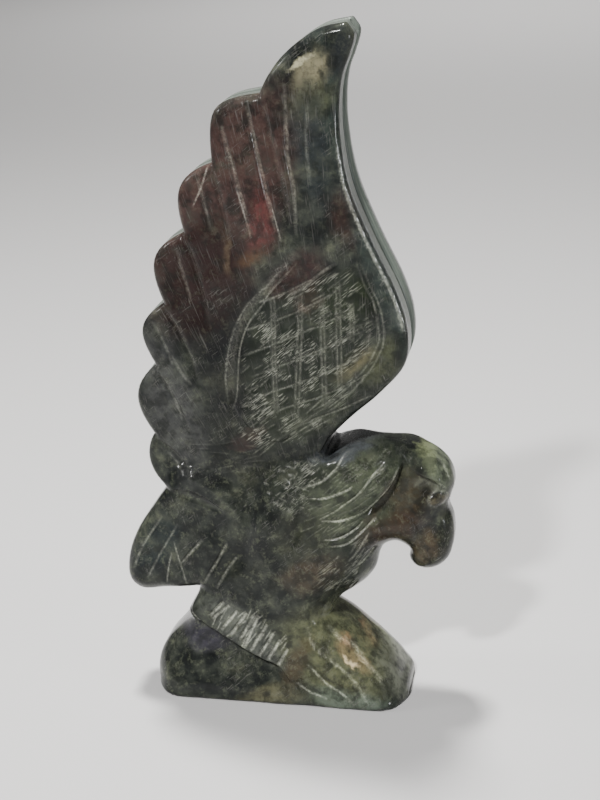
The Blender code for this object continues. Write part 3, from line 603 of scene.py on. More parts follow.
def hatching(loop, slope, pitch, length, keep=0.8):
    """Short strokes at one slope, in rows a pitch apart, kept where their middle lies within the loop."""
    corners = np.array(loop, float)
    low, high = corners.min(axis=0), corners.max(axis=0)
    reach = np.hypot(*(high - low)) / 2
    along = np.array([np.cos(np.radians(slope)), np.sin(np.radians(slope))])
    across = np.array([-along[1], along[0]])
    lines = []
    for row in np.arange(-reach, reach, pitch):
        place = -reach + chance.uniform(0, length)
        while place < reach:
            span = length * chance.uniform(0.6, 1.3)
            middle = (low + high) / 2 + along * place + across * (row + chance.uniform(-0.2, 0.2) * pitch)
            if chance.uniform() < keep and inside(middle[None], corners)[0]:
                tilt = across * chance.uniform(-0.12, 0.12) * span
                lines.append([middle - along * span / 2 - tilt, middle + along * span / 2 + tilt])
            place += span * chance.uniform(1.05, 1.5)
    return lines


PANEL_HATCH = [
    (-3.4, 46.5), (-3.2, 53.0), (-1.6, 58.0), (1.0, 61.8), (5.0, 63.8), (9.5, 66.0), (12.6, 66.4),
    (14.2, 62.0), (15.0, 57.0), (13.6, 54.0), (9.6, 50.0), (5.8, 46.0), (3.5, 43.0), (0.0, 40.4),
    (-3.8, 41.2),
]
FRONT_HATCH = [
    (-1.2, 39.6), (0.5, 42.0), (6.0, 46.0), (12.0, 51.0), (15.6, 53.4), (13.6, 50.0), (7.0, 43.4),
    (1.5, 39.8),
]
WRIST_HATCH = [(11.4, 57.0), (11.8, 61.6), (14.6, 62.0), (15.6, 58.6), (14.4, 56.4)]
NAPE_HATCH = [
    (-1.0, 34.0), (0.6, 36.8), (4.0, 38.0), (8.4, 38.6), (8.8, 36.6), (6.6, 34.6), (6.0, 32.4),
    (3.8, 30.6), (1.2, 32.0),
]
BREAST_HATCH = [(7.4, 17.6), (7.0, 22.0), (10.5, 25.6), (14.2, 26.8), (14.0, 22.6), (11.4, 18.0)]
MANE_HATCH = [
    (5.2, 27.0), (6.0, 31.0), (8.0, 35.0), (11.0, 38.6), (16.4, 39.0), (17.2, 36.4), (15.0, 32.8),
    (13.4, 29.2), (9.0, 25.8),
]
ROOT_HATCH = [(-14.0, 38.4), (-13.0, 34.4), (-4.0, 34.6), (-1.0, 37.0), (-2.0, 41.0), (-8.0, 42.0)]
LEG_HATCH = [(-10.0, 13.2), (-7.6, 16.0), (-2.2, 13.8), (2.2, 9.2), (0.4, 6.2), (-5.0, 8.6)]
HATCHED = {
    "panel": (PANEL_HATCH, 0.8), "front": (FRONT_HATCH, 0.6), "wrist": (WRIST_HATCH, 0.6),
    "nape": (NAPE_HATCH, 0.6), "breast": (BREAST_HATCH, 0.5),
}
HATCH_FADE = 0.0012


def hatched(points):
    """How far short strokes roughen the stone: 1 within a hatched area, and 0 outside all of them."""
    shares = []
    for loop, strength in HATCHED.values():
        edge = curve(loop, closed=True)
        shares.append(strength * step(depth_within(points, edge), -HATCH_FADE, HATCH_FADE))
    return np.max(shares, axis=0)


# %% Every cut with its width, its depth and how pale its bottom is
# Paleness fades from a cut's middle to its sides, and above 1 it stays full over more of the width
CUT_FAMILIES = [
    (PARTINGS, 0.0022, 0.0004, 0.06),
    (FLUTES, 0.0015, 0.0006, 0.42),
    (FAINT_FLUTES, 0.0013, 0.0003, 0.25),
    ([COVERT_BAND], 0.0038, 0.0007, 0.18),
    (BORDERS[:2], 0.0008, 0.0003, 0.50),
    (BORDERS[2:], 0.0008, 0.0002, 0.35),
    (lattice_uprights(), 0.0009, 0.0005, 0.42),
    (lattice_slants(), 0.0008, 0.0005, 0.54),
    ([LATTICE_TOP], 0.0013, 0.0005, 0.42),
    (hatching(PANEL_HATCH, 34, 0.75, 1.8, 0.40), 0.0006, 0.0004, 0.46),
    (hatching(WRIST_HATCH, 40, 0.55, 1.4), 0.0006, 0.0004, 0.48),
    (hatching(FRONT_HATCH, 40, 0.80, 4.0), 0.0006, 0.0003, 0.45),
    (hatching(NAPE_HATCH, 45, 0.75, 1.0, 0.6), 0.0006, 0.0004, 0.55),
    (hatching(NAPE_HATCH, -25, 0.95, 1.2, 0.5), 0.0006, 0.0004, 0.45),
    (hatching(BREAST_HATCH, 48, 0.85, 1.8, 0.5), 0.0007, 0.0003, 0.50),
    (hatching(MANE_HATCH, 38, 0.50, 2.4), 0.0005, 0.0002, 0.26),
    (hatching(ROOT_HATCH, 6, 0.80, 3.0, 0.6), 0.0006, 0.0001, 0.12),
    (hatching(LEG_HATCH, 54, 0.50, 2.2, 0.6), 0.0006, 0.0003, 0.75),
    (MANE, 0.0007, 0.0005, 1.00),
    ([MANE_LIP], 0.0008, 0.0002, 1.00),
    (TAIL_CUTS[:2], 0.0010, 0.0004, 0.45),
    (TAIL_CUTS[2:], 0.0013, 0.0006, 0.55),
    (SCRATCHES, 0.0006, 0.0002, 0.85),
    (TOES, 0.0008, 0.0005, 0.90),
    (TOES, 0.0044, 0.0007, 0.00),
    (LEG_STROKES, 0.0014, 0.0008, 1.30),
    ([LEG_HEM], 0.0010, 0.0005, 0.90),
    ([MOUTH], 0.0012, 0.0004, 0.00),
    # Not a cut: a painted highlight, pale and without depth, along the wings' sharp front edge
    ([PAINTED_HIGHLIGHT_EDGE], 0.0012, 0.0000, 1.40),
]


def cuts(points):
    """How far the wheels went in at each point, and how pale they left it, with a painted highlight on the
    wings' front edge.
    """
    sunk, pale = np.zeros(len(points)), np.zeros(len(points))
    for lines, width, depth, paleness in CUT_FAMILIES:
        for line in lines:
            path = curve(line, steps=4)
            near = np.flatnonzero(close_to(points, path, width / 2))
            if len(near) == 0:
                continue
            away, _, share, _ = nearest(points[near], *pieces(path))
            profile = np.clip(1 - (2 * away / width) ** 2, 0, 1)
            taper = np.sqrt(np.clip(5 * share * (1 - share), 0, 1))
            sunk[near] = np.maximum(sunk[near], depth * profile * taper)
            pale[near] = np.maximum(pale[near], paleness * profile ** 2 * taper)
    around = np.hypot(*(points - np.array(EYE) * SHARE).T)
    ring = np.exp(-((around - EYE_RADIUS) / EYE_RING_WIDTH) ** 2)
    return np.maximum(sunk, EYE_RING_DEPTH * ring), np.maximum(pale, EYE_RING_PALENESS * ring)


WORN_REACH = (0.0006, 0.0016)


def worn(points):
    """1 along the wings' sharp front edge, which is rubbed to a shine, and 0 away from it."""
    away, _, share, _ = nearest(points, *pieces(curve(PAINTED_HIGHLIGHT_EDGE)))
    return (1 - step(away, *WORN_REACH)) * step(share, 0, 0.1) * step(1 - share, 0, 0.05)


print(f"{sum(len(lines) for lines, *_ in CUT_FAMILIES)} cuts in {len(CUT_FAMILIES)} families")

# %% Chips along the wings' sharp front edge, where it has been knocked
CHIPS = 90
CHIP_RUN = (57, 84)
CHIP_RADIUS = 0.0005
CHIP_DEPTH = 0.00016
CHIP_INSET = (0.0004, 0.0016)
chip_edge = curve(LEADING_EDGE, steps=30)
chip_edge = chip_edge[(chip_edge[:, 1] > CHIP_RUN[0] * SHARE) & (chip_edge[:, 1] < CHIP_RUN[1] * SHARE)]
chip_places = chip_edge[chance.randint(len(chip_edge), size=CHIPS)]
chip_places = chip_places - chance.uniform(*CHIP_INSET, (CHIPS, 1)) * (1, 0)
chip_sizes = CHIP_RADIUS * chance.uniform(0.6, 1.6, CHIPS)


def chips(points):
    sunk = np.zeros(len(points))
    for place, radius in zip(chip_places, chip_sizes):
        near = np.flatnonzero((np.abs(points - place) < 3 * radius).all(axis=1))
        away = np.linalg.norm(points[near] - place, axis=1)
        sunk[near] = np.maximum(sunk[near], CHIP_DEPTH * np.exp(-((away / radius) ** 2)))
    return sunk


print(f"{CHIPS} chips")

# %% [markdown]
# ## From a sheet to a stone
#
# One face of the block is enough: both are carved alike, so the second is a mirror image. A grid is trimmed
# to the silhouette, its ragged rim is drawn onto the outline, and cells near a rounded edge slide towards
# it so that the rounding is followed in even steps. Then every point sinks to its place. The rim is carried
# back to the middle plane by extrusion, with a groove between the two wings, and points that met at a notch
# of the outline are welded, so that the skin stays watertight. Mirror makes the whole block. A Decimate
# modifier takes triangles out of the smooth places and leaves them in the cuts.

# %% A flat sheet with the silhouette
CELL = 0.00028


def sheet_in_outline():
    loops = np.vstack(list(LOOPS.values()))
    low, high = loops.min(axis=0) - CELL, loops.max(axis=0) + CELL
    low[1] = 0
    count = np.ceil((high - low) / CELL).astype(int)
    size = count * CELL
    sheet = bmesh.new()
    bmesh.ops.create_grid(sheet, x_segments=int(count[0]), y_segments=int(count[1]), size=0.5)
    bmesh.ops.scale(sheet, vec=(size[0], size[1], 1), verts=sheet.verts)
    bmesh.ops.translate(sheet, vec=(low[0] + size[0] / 2, size[1] / 2, 0), verts=sheet.verts)
    within, _ = outline(np.array([v.co.xy for v in sheet.verts]))
    spare = [vert for vert, depth in zip(sheet.verts, within) if depth < 0]
    while spare:
        bmesh.ops.delete(sheet, geom=spare, context="VERTS")
        spare = [v for v in sheet.verts if sum(e.is_boundary for e in v.link_edges) > 2 or not v.link_faces]
    return sheet


sheet = sheet_in_outline()
print(f"{len(sheet.faces)} cells of {1000 * CELL:.2f} mm in the silhouette")

# %% Sink the points to the carved surface
# 2 would round the edges as a circle does, and less than that leaves them a little pointed
ARCH = 1.75
LUMP = 0.00006
LUMP_WAVES = [(0.0165, 0.4), (0.0210, 1.9), (0.0130, 2.9), (0.0110, 5.1)]
# The carving fades out over this width along the rim
RIM_FADE = 0.0012


def lumps(points):
    """The slight unevenness that hand grinding leaves, as a few crossing waves."""
    return LUMP * sum(
        np.sin(points @ (np.cos(turn), np.sin(turn)) * 2 * np.pi / length + 3 * turn)
        for length, turn in LUMP_WAVES
    )


def carve(sheet):
    points = np.array([v.co.xy for v in sheet.verts])
    rim = np.array([v.is_boundary for v in sheet.verts])
    within, place = outline(points)
    floor = points[:, 1] < CELL / 2
    drawn = rim & ~(floor & (within > CELL))
    points[drawn] = place[drawn]
    points[floor, 1] = 0

    _, edge = broad_relief(points)
    within, place = outline(points)
    slid = ~rim & (within < edge) & (within > 0)
    turn = within[slid] / edge[slid] * np.pi / 2
    points[slid] = mix(place[slid], points[slid], (edge[slid] * (1 - np.cos(turn)) / within[slid])[:, None])
    low = (points[:, 1] < BASE_ROUND) & ~rim
    points[low, 1] = BASE_ROUND * (1 - np.cos(points[low, 1] / BASE_ROUND * np.pi / 2))

    half, edge = broad_relief(points)
    within, _ = outline(points)
    within[drawn] = 0
    roll = np.clip(1 - within / edge, 0, 1)
    half = half - edge * (1 - (1 - roll ** ARCH) ** (1 / ARCH))
    roll = np.clip(1 - points[:, 1] / BASE_ROUND, 0, 1)
    half = half - BASE_ROUND * (1 - np.sqrt(1 - roll ** 2))
    sunk, pale = cuts(points)
    fade = step(within, 0, RIM_FADE)
    half = half + (ledges(points) + swellings(points) + lumps(points) - sunk) * fade - chips(points)
    for vert, (x, z), y in zip(sheet.verts, points, half):
        vert.co = (x, -y, z)
    for name, values in (("pale", pale * fade), ("hatched", hatched(points) * fade), ("worn", worn(points))):
        layer = sheet.verts.layers.float.new(name)
        for vert, value in zip(sheet.verts, values):
            vert[layer] = value


carve(sheet)
print("the near face is carved")

# %% Close the rim, with the groove between the wings
RIM_GROOVE_WIDTH = 0.0035
RIM_GROOVE_DEPTH = 0.0035
GROOVE_RISE = (25, 45)
# Each row along the rim: its share of the way from the face to the groove's lip, and then down the groove
WALL_ROWS = (0.35, 0.75, 1.0)
GROOVE_ROWS = (0.12, 0.5, 1.0)
WELD = 0.000002


def inward_ways(points):
    """The way into the stone from each point of the outline, from how deep small steps around it lead."""
    total = np.zeros_like(points)
    for turn in np.linspace(0, 2 * np.pi, 12, endpoint=False):
        way = np.array([np.cos(turn), np.sin(turn)])
        total += outline(points + way * CELL)[0][:, None] * way
    return total / np.maximum(np.linalg.norm(total, axis=1), 1e-9)[:, None]


def close_rim(shell):
    edges = [e for e in shell.edges if e.is_boundary]
    rows = []
    for _ in range(len(WALL_ROWS) + len(GROOVE_ROWS)):
        made = bmesh.ops.extrude_edge_only(shell, edges=edges)["geom"]
        edges = [g for g in made if isinstance(g, bmesh.types.BMEdge) and g.is_boundary]
        rows.append([g for g in made if isinstance(g, bmesh.types.BMVert)])
    for number, row in enumerate(rows):
        start = np.array([v.co.y for v in row])
        lip = np.maximum(start, -RIM_GROOVE_WIDTH / 2)
        if number < len(WALL_ROWS):
            for vert, y in zip(row, mix(start, lip, WALL_ROWS[number])):
                vert.co.y = y
            continue
        share = GROOVE_ROWS[number - len(WALL_ROWS)]
        points = np.array([(v.co.x, v.co.z) for v in row])
        others = np.max([depth_within(points, LOOPS[name]) for name in ("body", "tail", "rock")], axis=0)
        grooved = step(-others, CRISP, MERGE) * over(GROOVE_RISE, points[:, 1])
        sunk = RIM_GROOVE_DEPTH * grooved * (1 - (1 - share) ** 2)
        points = points + inward_ways(points) * sunk[:, None]
        for vert, (x, z), y in zip(row, points, mix(lip, 0, share)):
            vert.co = (x, y, z)


close_rim(sheet)
bmesh.ops.remove_doubles(sheet, verts=sheet.verts, dist=WELD)
bmesh.ops.recalc_face_normals(sheet, faces=sheet.faces)
print(f"{len(sheet.verts)} points in the half block")

# %% Mirror the half, and thin out the triangles
TRIANGLES = 192_000

mesh = bpy.data.meshes.new("carved_eagle")
sheet.to_mesh(mesh)
sheet.free()
mesh.shade_smooth()
eagle = bpy.data.objects.new("carved_eagle", mesh)
bpy.context.scene.collection.objects.link(eagle)
mirror = eagle.modifiers.new("other face", "MIRROR")
mirror.use_axis = (False, True, False)
mirror.merge_threshold = 0.00001
thin = eagle.modifiers.new("fewer triangles", "DECIMATE")
# Each cell of the half block becomes two triangles on either face
thin.ratio = min(1, TRIANGLES / (4 * len(mesh.polygons)))
graph = bpy.context.evaluated_depsgraph_get()
finished = bpy.data.meshes.new_from_object(eagle.evaluated_get(graph))
eagle.modifiers.clear()
eagle.data = finished
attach(eagle, "root")
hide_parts("eagle_on_rock")
print(f"{len(finished.polygons)} triangles, attributes", [a.name for a in finished.attributes])

# %% [markdown]
# ## Writing shader maths as sums
#
# A stone's colour is arithmetic on a few noise patterns. Wiring that by hand takes dozens of Math nodes, so
# a small class wraps a node's output and turns + - * / into nodes. Everything that is no plain arithmetic
# goes through one method, which sets a node's settings first and then its inputs.

# %% A wrapped socket, and a material that makes nodes
class Value:
    """A node's output. Arithmetic on it adds Math nodes to its material."""

    def __init__(self, finish, socket):
        self.finish, self.socket = finish, socket

    def math(self, operation, first, second=0.0):
        return self.finish.node("ShaderNodeMath", {"operation": operation}, {0: first, 1: second})

    def __add__(self, other):
        return self.math("ADD", self, other)

    def __sub__(self, other):
        return self.math("SUBTRACT", self, other)

    def __rsub__(self, other):
        return self.math("SUBTRACT", other, self)

    def __mul__(self, other):
        return self.math("MULTIPLY", self, other)

    def __truediv__(self, other):
        return self.math("DIVIDE", self, other)

    def __pow__(self, other):
        return self.math("POWER", self, other)

    def most(self, other):
        return self.math("MAXIMUM", self, other)

    __radd__ = __add__
    __rmul__ = __mul__


class Finish:
    """A material and its nodes."""

    def __init__(self, name):
        self.material = bpy.data.materials.new(name)
        self.material.use_nodes = True
        self.tree = self.material.node_tree
        self.shader = self.tree.nodes["Principled BSDF"]

    def set(self, socket, value):
        if isinstance(value, Value):
            self.tree.links.new(value.socket, socket)
        elif isinstance(value, tuple) and len(value) == 3 and socket.type == "RGBA":
            socket.default_value = (*value, 1)
        else:
            socket.default_value = value

    def node(self, kind, settings=None, values=None, output=0):
        """A node of this type, with its settings and then its inputs. Gives one output, by name or number."""
        made = self.tree.nodes.new(kind)
        for name, setting in (settings or {}).items():
            if name == "stops":
                ramp = made.color_ramp
                for _ in range(len(setting) - 2):
                    ramp.elements.new(0.5)
                for element, (place, colour) in zip(ramp.elements, setting):
                    element.position, element.color = place, (*colour, 1)
            else:
                setattr(made, name, setting)
        for name, value in (values or {}).items():
            self.set(made.inputs[name], value)
        return Value(self, made.outputs[output])

    def surface(self, values):
        """Sets the inputs of the surface itself."""
        for name, value in values.items():
            self.set(self.shader.inputs[name], value)

    def axes(self, place):
        """The X, Y and Z of a place."""
        apart = self.node("ShaderNodeSeparateXYZ", {}, {0: place}).socket.node
        return [Value(self, socket) for socket in apart.outputs]

    def stored(self, name):
        """A number that the mesh holds at each of its points."""
        return self.node("ShaderNodeAttribute", {"attribute_name": name}, output="Fac")

    def noise(self, place, scale, detail=4.0, roughness=0.55):
        return self.node(
            "ShaderNodeTexNoise", {},
            {"Vector": place, "Scale": scale, "Detail": detail, "Roughness": roughness},
        )

    def between(self, value, low, high):
        """0 below low, 1 above high, smooth in between."""
        return self.node(
            "ShaderNodeMapRange", {"interpolation_type": "SMOOTHSTEP"},
            {"Value": value, "From Min": low, "From Max": high},
        )

    def blend(self, share, first, second):
        return self.node(
            "ShaderNodeMix", {"data_type": "RGBA"}, {"Factor": share, 6: first, 7: second}, output=2
        )


print("shader helpers ready")

# %% [markdown]
# ## The jasper
#
# The ground of the stone is a charcoal green. Lighter green and olive clouds drift through it, and iron has
# stained it: maroon in the long feathers, rust and gold on the foot, brown on the throat. Each stain is an
# oval in side view with a wavering edge, because the point that is looked up is first shifted by noise.
# A few more ovals are painted light and shade: a red glow in the long feathers, as if light shone through
# the stone, painted shade in the cleft before the thigh and on the beak's right rim, painted shade over dark
# dirt in the gouge along the mane, and painted light where the cleft between wing and neck lies in shade.
# Over all lies a fine mottling. The same place gives the same colour on both faces of the block, nearly:
# the noise is three-dimensional, so the pattern runs through the stone and differs a little at the back.

# %% Where the stains and the painted light and shade lie: centre, half length, half width, turn, softness, strength and colour
STAINS_AND_PAINTED_LIGHT = [
    ("dark inner wing", (-5.6, 52.0), 16.0, 5.5, 105, 0.8, 0.80, (0.006, 0.006, 0.007)),
    ("dark wing root", (-4.0, 39.0), 8.0, 4.5, 160, 0.8, 0.75, (0.008, 0.009, 0.008)),
    ("blue-black lower feathers", (-14.6, 46.0), 12.0, 4.0, 110, 0.7, 0.70, (0.056, 0.057, 0.056)),
    ("dark leg", (-4.6, 22.5), 6.5, 3.6, 40, 0.8, 0.75, (0.006, 0.007, 0.007)),
    ("worn leg", (-4.2, 11.2), 8.0, 3.0, -35, 0.7, 0.75, (0.095, 0.102, 0.088)),
    ("maroon feathers", (-5.5, 75.0), 19.0, 8.5, 62, 0.5, 0.90, (0.050, 0.028, 0.025)),
    ("maroon low", (-8.6, 64.5), 9.5, 6.8, 70, 0.5, 0.85, (0.011, 0.006, 0.006)),
    # painted glow: the red is lighter here, as if light shone through the stone
    ("painted red glow", (0.1, 73.4), 4.6, 1.9, 80, 0.9, 0.90, (0.088, 0.027, 0.026)),
    ("orange spot", (-1.6, 68.0), 2.0, 1.2, 20, 0.9, 0.65, (0.075, 0.044, 0.024)),
    ("pale brown low flute", (-5.2, 68.3), 2.6, 0.7, 90, 0.9, 0.45, (0.110, 0.080, 0.050)),
    ("covert red", (5.0, 65.5), 5.0, 3.0, 30, 0.7, 0.70, (0.036, 0.018, 0.017)),
    ("red of the inner lattice", (6.4, 61.6), 2.6, 1.6, 20, 0.7, 0.60, (0.090, 0.040, 0.030)),
    ("wrist red", (12.0, 73.5), 4.0, 2.2, 105, 0.7, 0.60, (0.038, 0.020, 0.017)),
    ("low red", (-3.0, 41.2), 3.0, 1.2, 25, 0.6, 0.70, (0.052, 0.028, 0.026)),
    ("grey-green leading edge", (14.5, 76.0), 26.0, 2.6, 105, 0.6, 0.60, (0.030, 0.041, 0.036)),
    ("tip cream", (8.0, 93.6), 3.6, 1.8, 60, 0.8, 0.90, (0.200, 0.182, 0.112)),
    ("tip bright streak", (7.0, 95.3), 2.0, 0.45, 32, 0.8, 0.90, (0.420, 0.400, 0.260)),
    ("tip olive", (8.0, 90.0), 3.0, 2.2, 20, 0.8, 0.60, (0.085, 0.090, 0.048)),
    ("tip black", (11.6, 96.6), 3.4, 1.3, 75, 0.7, 0.90, (0.016, 0.018, 0.020)),
    ("dark long feather", (7.6, 84.5), 8.5, 2.4, 95, 0.8, 0.80, (0.023, 0.028, 0.030)),
    ("olive gold", (12.6, 52.9), 3.4, 1.5, 34, 0.9, 0.60, (0.150, 0.135, 0.075)),
    ("wrist olive", (16.6, 53.0), 4.0, 2.0, 60, 0.9, 0.65, (0.060, 0.066, 0.036)),
    ("panel olive", (11.5, 61.5), 4.6, 3.6, 60, 0.8, 0.75, (0.020, 0.027, 0.013)),
    ("panel low olive", (5.5, 46.5), 8.0, 4.0, 35, 0.8, 0.60, (0.034, 0.039, 0.026)),
    ("mane green", (12.0, 33.0), 9.0, 6.0, 35, 0.7, 0.75, (0.056, 0.067, 0.041)),
    ("crown", (22.2, 38.8), 2.6, 0.8, 118, 0.9, 0.90, (0.300, 0.340, 0.170)),
    ("crown grey-green", (24.2, 36.6), 4.0, 1.8, 135, 0.7, 0.80, (0.096, 0.112, 0.076)),
    ("brown face", (20.0, 32.0), 4.5, 2.8, 70, 0.7, 0.80, (0.034, 0.023, 0.012)),
    ("brown throat", (17.5, 27.5), 5.0, 2.8, 30, 0.6, 0.85, (0.034, 0.022, 0.016)),
    ("brown beak", (22.5, 24.5), 3.0, 2.4, 70, 0.6, 0.60, (0.080, 0.058, 0.032)),
    ("breast brown", (6.0, 21.0), 5.0, 2.6, 20, 0.8, 0.75, (0.048, 0.034, 0.022)),
    ("breast olive", (5.0, 27.0), 5.0, 4.0, 60, 0.8, 0.60, (0.026, 0.028, 0.018)),
    # the stone's blue-black, with painted light where the cleft between wing and neck lies in shade
    ("neck blue-black, painted lighter in shade", (10.5, 39.8), 5.0, 1.2, 6, 0.7, 0.75, (0.064, 0.070, 0.080)),
    # painted shade over the dark dirt of the cut darkens the gouge along the mane
    ("painted shade in the mane wedge", (16.2, 32.3), 4.4, 0.9, 55, 0.6, 0.90, (0.036, 0.030, 0.022)),
    ("socket", (22.9, 34.9), 1.7, 0.9, -20, 0.7, 0.60, (0.092, 0.096, 0.072)),
    ("eye", (24.3, 32.3), 1.1, 1.0, 0, 0.6, 0.60, (0.100, 0.085, 0.052)),
    # painted shade darkens the beak's right rim
    ("painted shade on the beak rim", (25.6, 27.0), 5.0, 1.6, 92, 0.7, 0.85, (0.009, 0.011, 0.007)),
    # painted shade darkens the cleft before the thigh
    ("cleft", (3.3, 28.4), 3.2, 0.8, 68, 0.8, 0.70, (0.012, 0.013, 0.011)),
    ("tail teal", (-18.0, 24.0), 6.0, 2.6, 60, 0.8, 0.70, (0.010, 0.016, 0.018)),
    ("rock olive", (9.5, 8.0), 9.0, 6.5, -38, 0.7, 0.85, (0.105, 0.112, 0.060)),
    ("rust", (11.6, 8.2), 3.4, 1.0, -44, 0.9, 0.75, (0.230, 0.175, 0.090)),
    ("rust core", (11.6, 7.4), 1.0, 0.30, -52, 0.9, 0.95, (0.680, 0.560, 0.330)),
    ("rust upper", (10.9, 9.9), 1.2, 0.5, -20, 0.9, 0.80, (0.210, 0.130, 0.068)),
    ("rock brown", (3.4, 6.4), 4.2, 1.7, 70, 0.8, 0.80, (0.044, 0.031, 0.018)),
    ("rock grey rim", (17.5, 5.5), 6.0, 1.8, -60, 0.8, 0.75, (0.160, 0.168, 0.135)),
    ("rock emerald", (11.5, 1.4), 6.0, 1.6, -10, 0.7, 0.70, (0.110, 0.140, 0.112)),
    ("rock purple", (-11.5, 9.8), 3.6, 1.8, -20, 0.7, 0.60, (0.048, 0.044, 0.062)),
    ("rock low green", (-1.0, 1.4), 5.0, 1.6, 10, 0.8, 0.70, (0.110, 0.105, 0.060)),
]

# %% The stone's own colour
jasper = Finish("jasper")
place = jasper.node("ShaderNodeTexCoord", output="Object")
# A drift of up to about 3 mm either way makes the ovals' edges waver
DRIFT = 0.009
drift = jasper.node(
    "ShaderNodeTexNoise", {},
    {"Vector": place, "Scale": 90.0, "Detail": 5.0, "Roughness": 0.65}, output="Color",
)
shifted = jasper.node(
    "ShaderNodeVectorMath", {"operation": "MULTIPLY_ADD"}, {0: drift, 1: (DRIFT,) * 3, 2: place}
)
shifted = jasper.node("ShaderNodeVectorMath", {"operation": "SUBTRACT"}, {0: shifted, 1: (DRIFT / 2,) * 3})
across, _, upwards = jasper.axes(shifted)


def oval(centre, length, width, turn, softness):
    """1 in the middle of an oval in side view, 0 outside it."""
    cosine, sine = np.cos(np.radians(turn)), np.sin(np.radians(turn))
    x, z = across - centre[0] * SHARE, upwards - centre[1] * SHARE
    along = (x * cosine + z * sine) / (length * SHARE)
    aside = (z * cosine - x * sine) / (width * SHARE)
    out = (along * along + aside * aside) ** 0.5
    return 1 - jasper.between(out, 1 - softness * 0.7, 1 + softness * 0.5)


clouds = jasper.noise(place, 150.0, 6.0, 0.62)
colour = jasper.node(
    "ShaderNodeValToRGB",
    {"stops": [(0.32, (0.006, 0.007, 0.007)), (0.45, (0.013, 0.015, 0.014)), (0.58, (0.032, 0.036, 0.029)),
               (0.70, (0.075, 0.080, 0.056))]},
    {"Fac": clouds},
)
mottle = jasper.noise(place, 420.0, 5.0, 0.65)
broken = jasper.between(mottle, 0.34, 0.60) * 0.6 + 0.4
for _, centre, length, width, turn, softness, strength, oval_colour in STAINS_AND_PAINTED_LIGHT:
    colour = jasper.blend(oval(centre, length, width, turn, softness) * strength * broken, colour, oval_colour)
print(f"{len(STAINS_AND_PAINTED_LIGHT)} stains")

# %% [markdown]
# ## Marks finer than the mesh
#
# The fine marks run in two ways. On the feathers they are faint streaks that fan out from the rock's front,
# as the wheel was drawn along each feather. In the hatched areas they are short strokes that rise to the
# front. Both come from noise that is stretched: its coordinate is scaled up across the marks and down along
# them. Painting them by hand would take thousands of cuts that are finer than the mesh.
#
# Two more finishes break the polish. Round the wings' rim, midway between the faces, runs a paler matte
# strip where the slab was left as the saw cut it, with fine lines along it. And the sharp front edge is
# rubbed by handling, so a thin coat lets it shine.

# %% Streaks along the feathers, and strokes in the hatched areas
FAN_CENTRE = (14.0, 2.0)
FAN_RADIUS = 70 * SHARE
WING_FOOT = (34, 42)
STROKE_SLOPE = np.radians(38)
x, y, z = jasper.axes(place)


def rising(run, value):
    """The smooth step of over(), made of nodes."""
    return jasper.between(value, run[0] * SHARE, run[1] * SHARE)


def stretched(along, aside, length, width, detail=2.0):
    """Noise whose blotches are long one way and narrow the other, in metres."""
    spot = jasper.node("ShaderNodeCombineXYZ", {}, {0: along / length, 1: y / (3 * width), 2: aside / width})
    return jasper.noise(spot, 1.0, detail, 0.6)


fan_x, fan_z = x - FAN_CENTRE[0] * SHARE, z - FAN_CENTRE[1] * SHARE
fan_turn = fan_x.math("ARCTAN2", fan_x, fan_z) * FAN_RADIUS
fan_reach = (fan_x * fan_x + fan_z * fan_z) ** 0.5
on_wing = rising(WING_FOOT, z)
fine_streaks = stretched(fan_reach, fan_turn, 0.0060, 0.0003)
broad_streaks = stretched(fan_reach, fan_turn, 0.0150, 0.0012)
streaks = jasper.between(fine_streaks, 0.54, 0.72) * jasper.between(broad_streaks, 0.42, 0.62) * on_wing
cosine, sine = float(np.cos(STROKE_SLOPE)), float(np.sin(STROKE_SLOPE))
strokes = stretched(x * cosine + z * sine, z * cosine - x * sine, 0.0030, 0.00026, 1.0)
hatched_area = jasper.stored("hatched")
clusters = jasper.between(jasper.noise(place, 210.0, 1.0), 0.46, 0.58)
strokes = jasper.between(strokes, 0.52, 0.62) * hatched_area * clusters
# Scuffs run two ways: with the strokes, and steeply across them
scuffs = jasper.between(stretched(x * 0.8 + z * 0.6, z * 0.8 - x * 0.6, 0.0030, 0.00030), 0.60, 0.70)
scuffs = scuffs.most(jasper.between(stretched(z - x * 0.3, x + z * 0.3, 0.0024, 0.00026), 0.61, 0.70))
scuffs = scuffs * jasper.between(jasper.noise(place, 120.0, 2.0), 0.46, 0.60)
print("streaks, strokes and scuffs are ready")

# %% Mottling, and the strip round the rim that was left as sawn
STRIP_HALF_WIDTH = (0.0044, 0.0056)
STRIP_WIDENING = 0.0022
STRIP_FRONT = (9, 11)
STRIP_TIP = (82, 92)
STRIP_FOOT = (36, 42)
DARK_CLOUD = (0.009, 0.010, 0.009)
LIGHT_FLECK = (0.130, 0.142, 0.094)
SAWN_STONE = (0.165, 0.190, 0.165)
SAW_LINE = (0.030, 0.042, 0.036)
HATCHED_STONE = (0.018, 0.022, 0.016)
SCUFF = (0.160, 0.155, 0.140)
speckle = jasper.noise(place, 1500.0, 3.0, 0.6)
grain = jasper.between(speckle, 0.36, 0.62)
dark_clouds = jasper.between(jasper.noise(place, 260.0, 4.0, 0.6), 0.48, 0.62)
colour = jasper.blend(dark_clouds * 0.54, colour, DARK_CLOUD)
light_flecks = grain * jasper.between(mottle, 0.50, 0.64) * (1 - on_wing * 0.6)
colour = jasper.blend(light_flecks * 0.30, colour, LIGHT_FLECK)

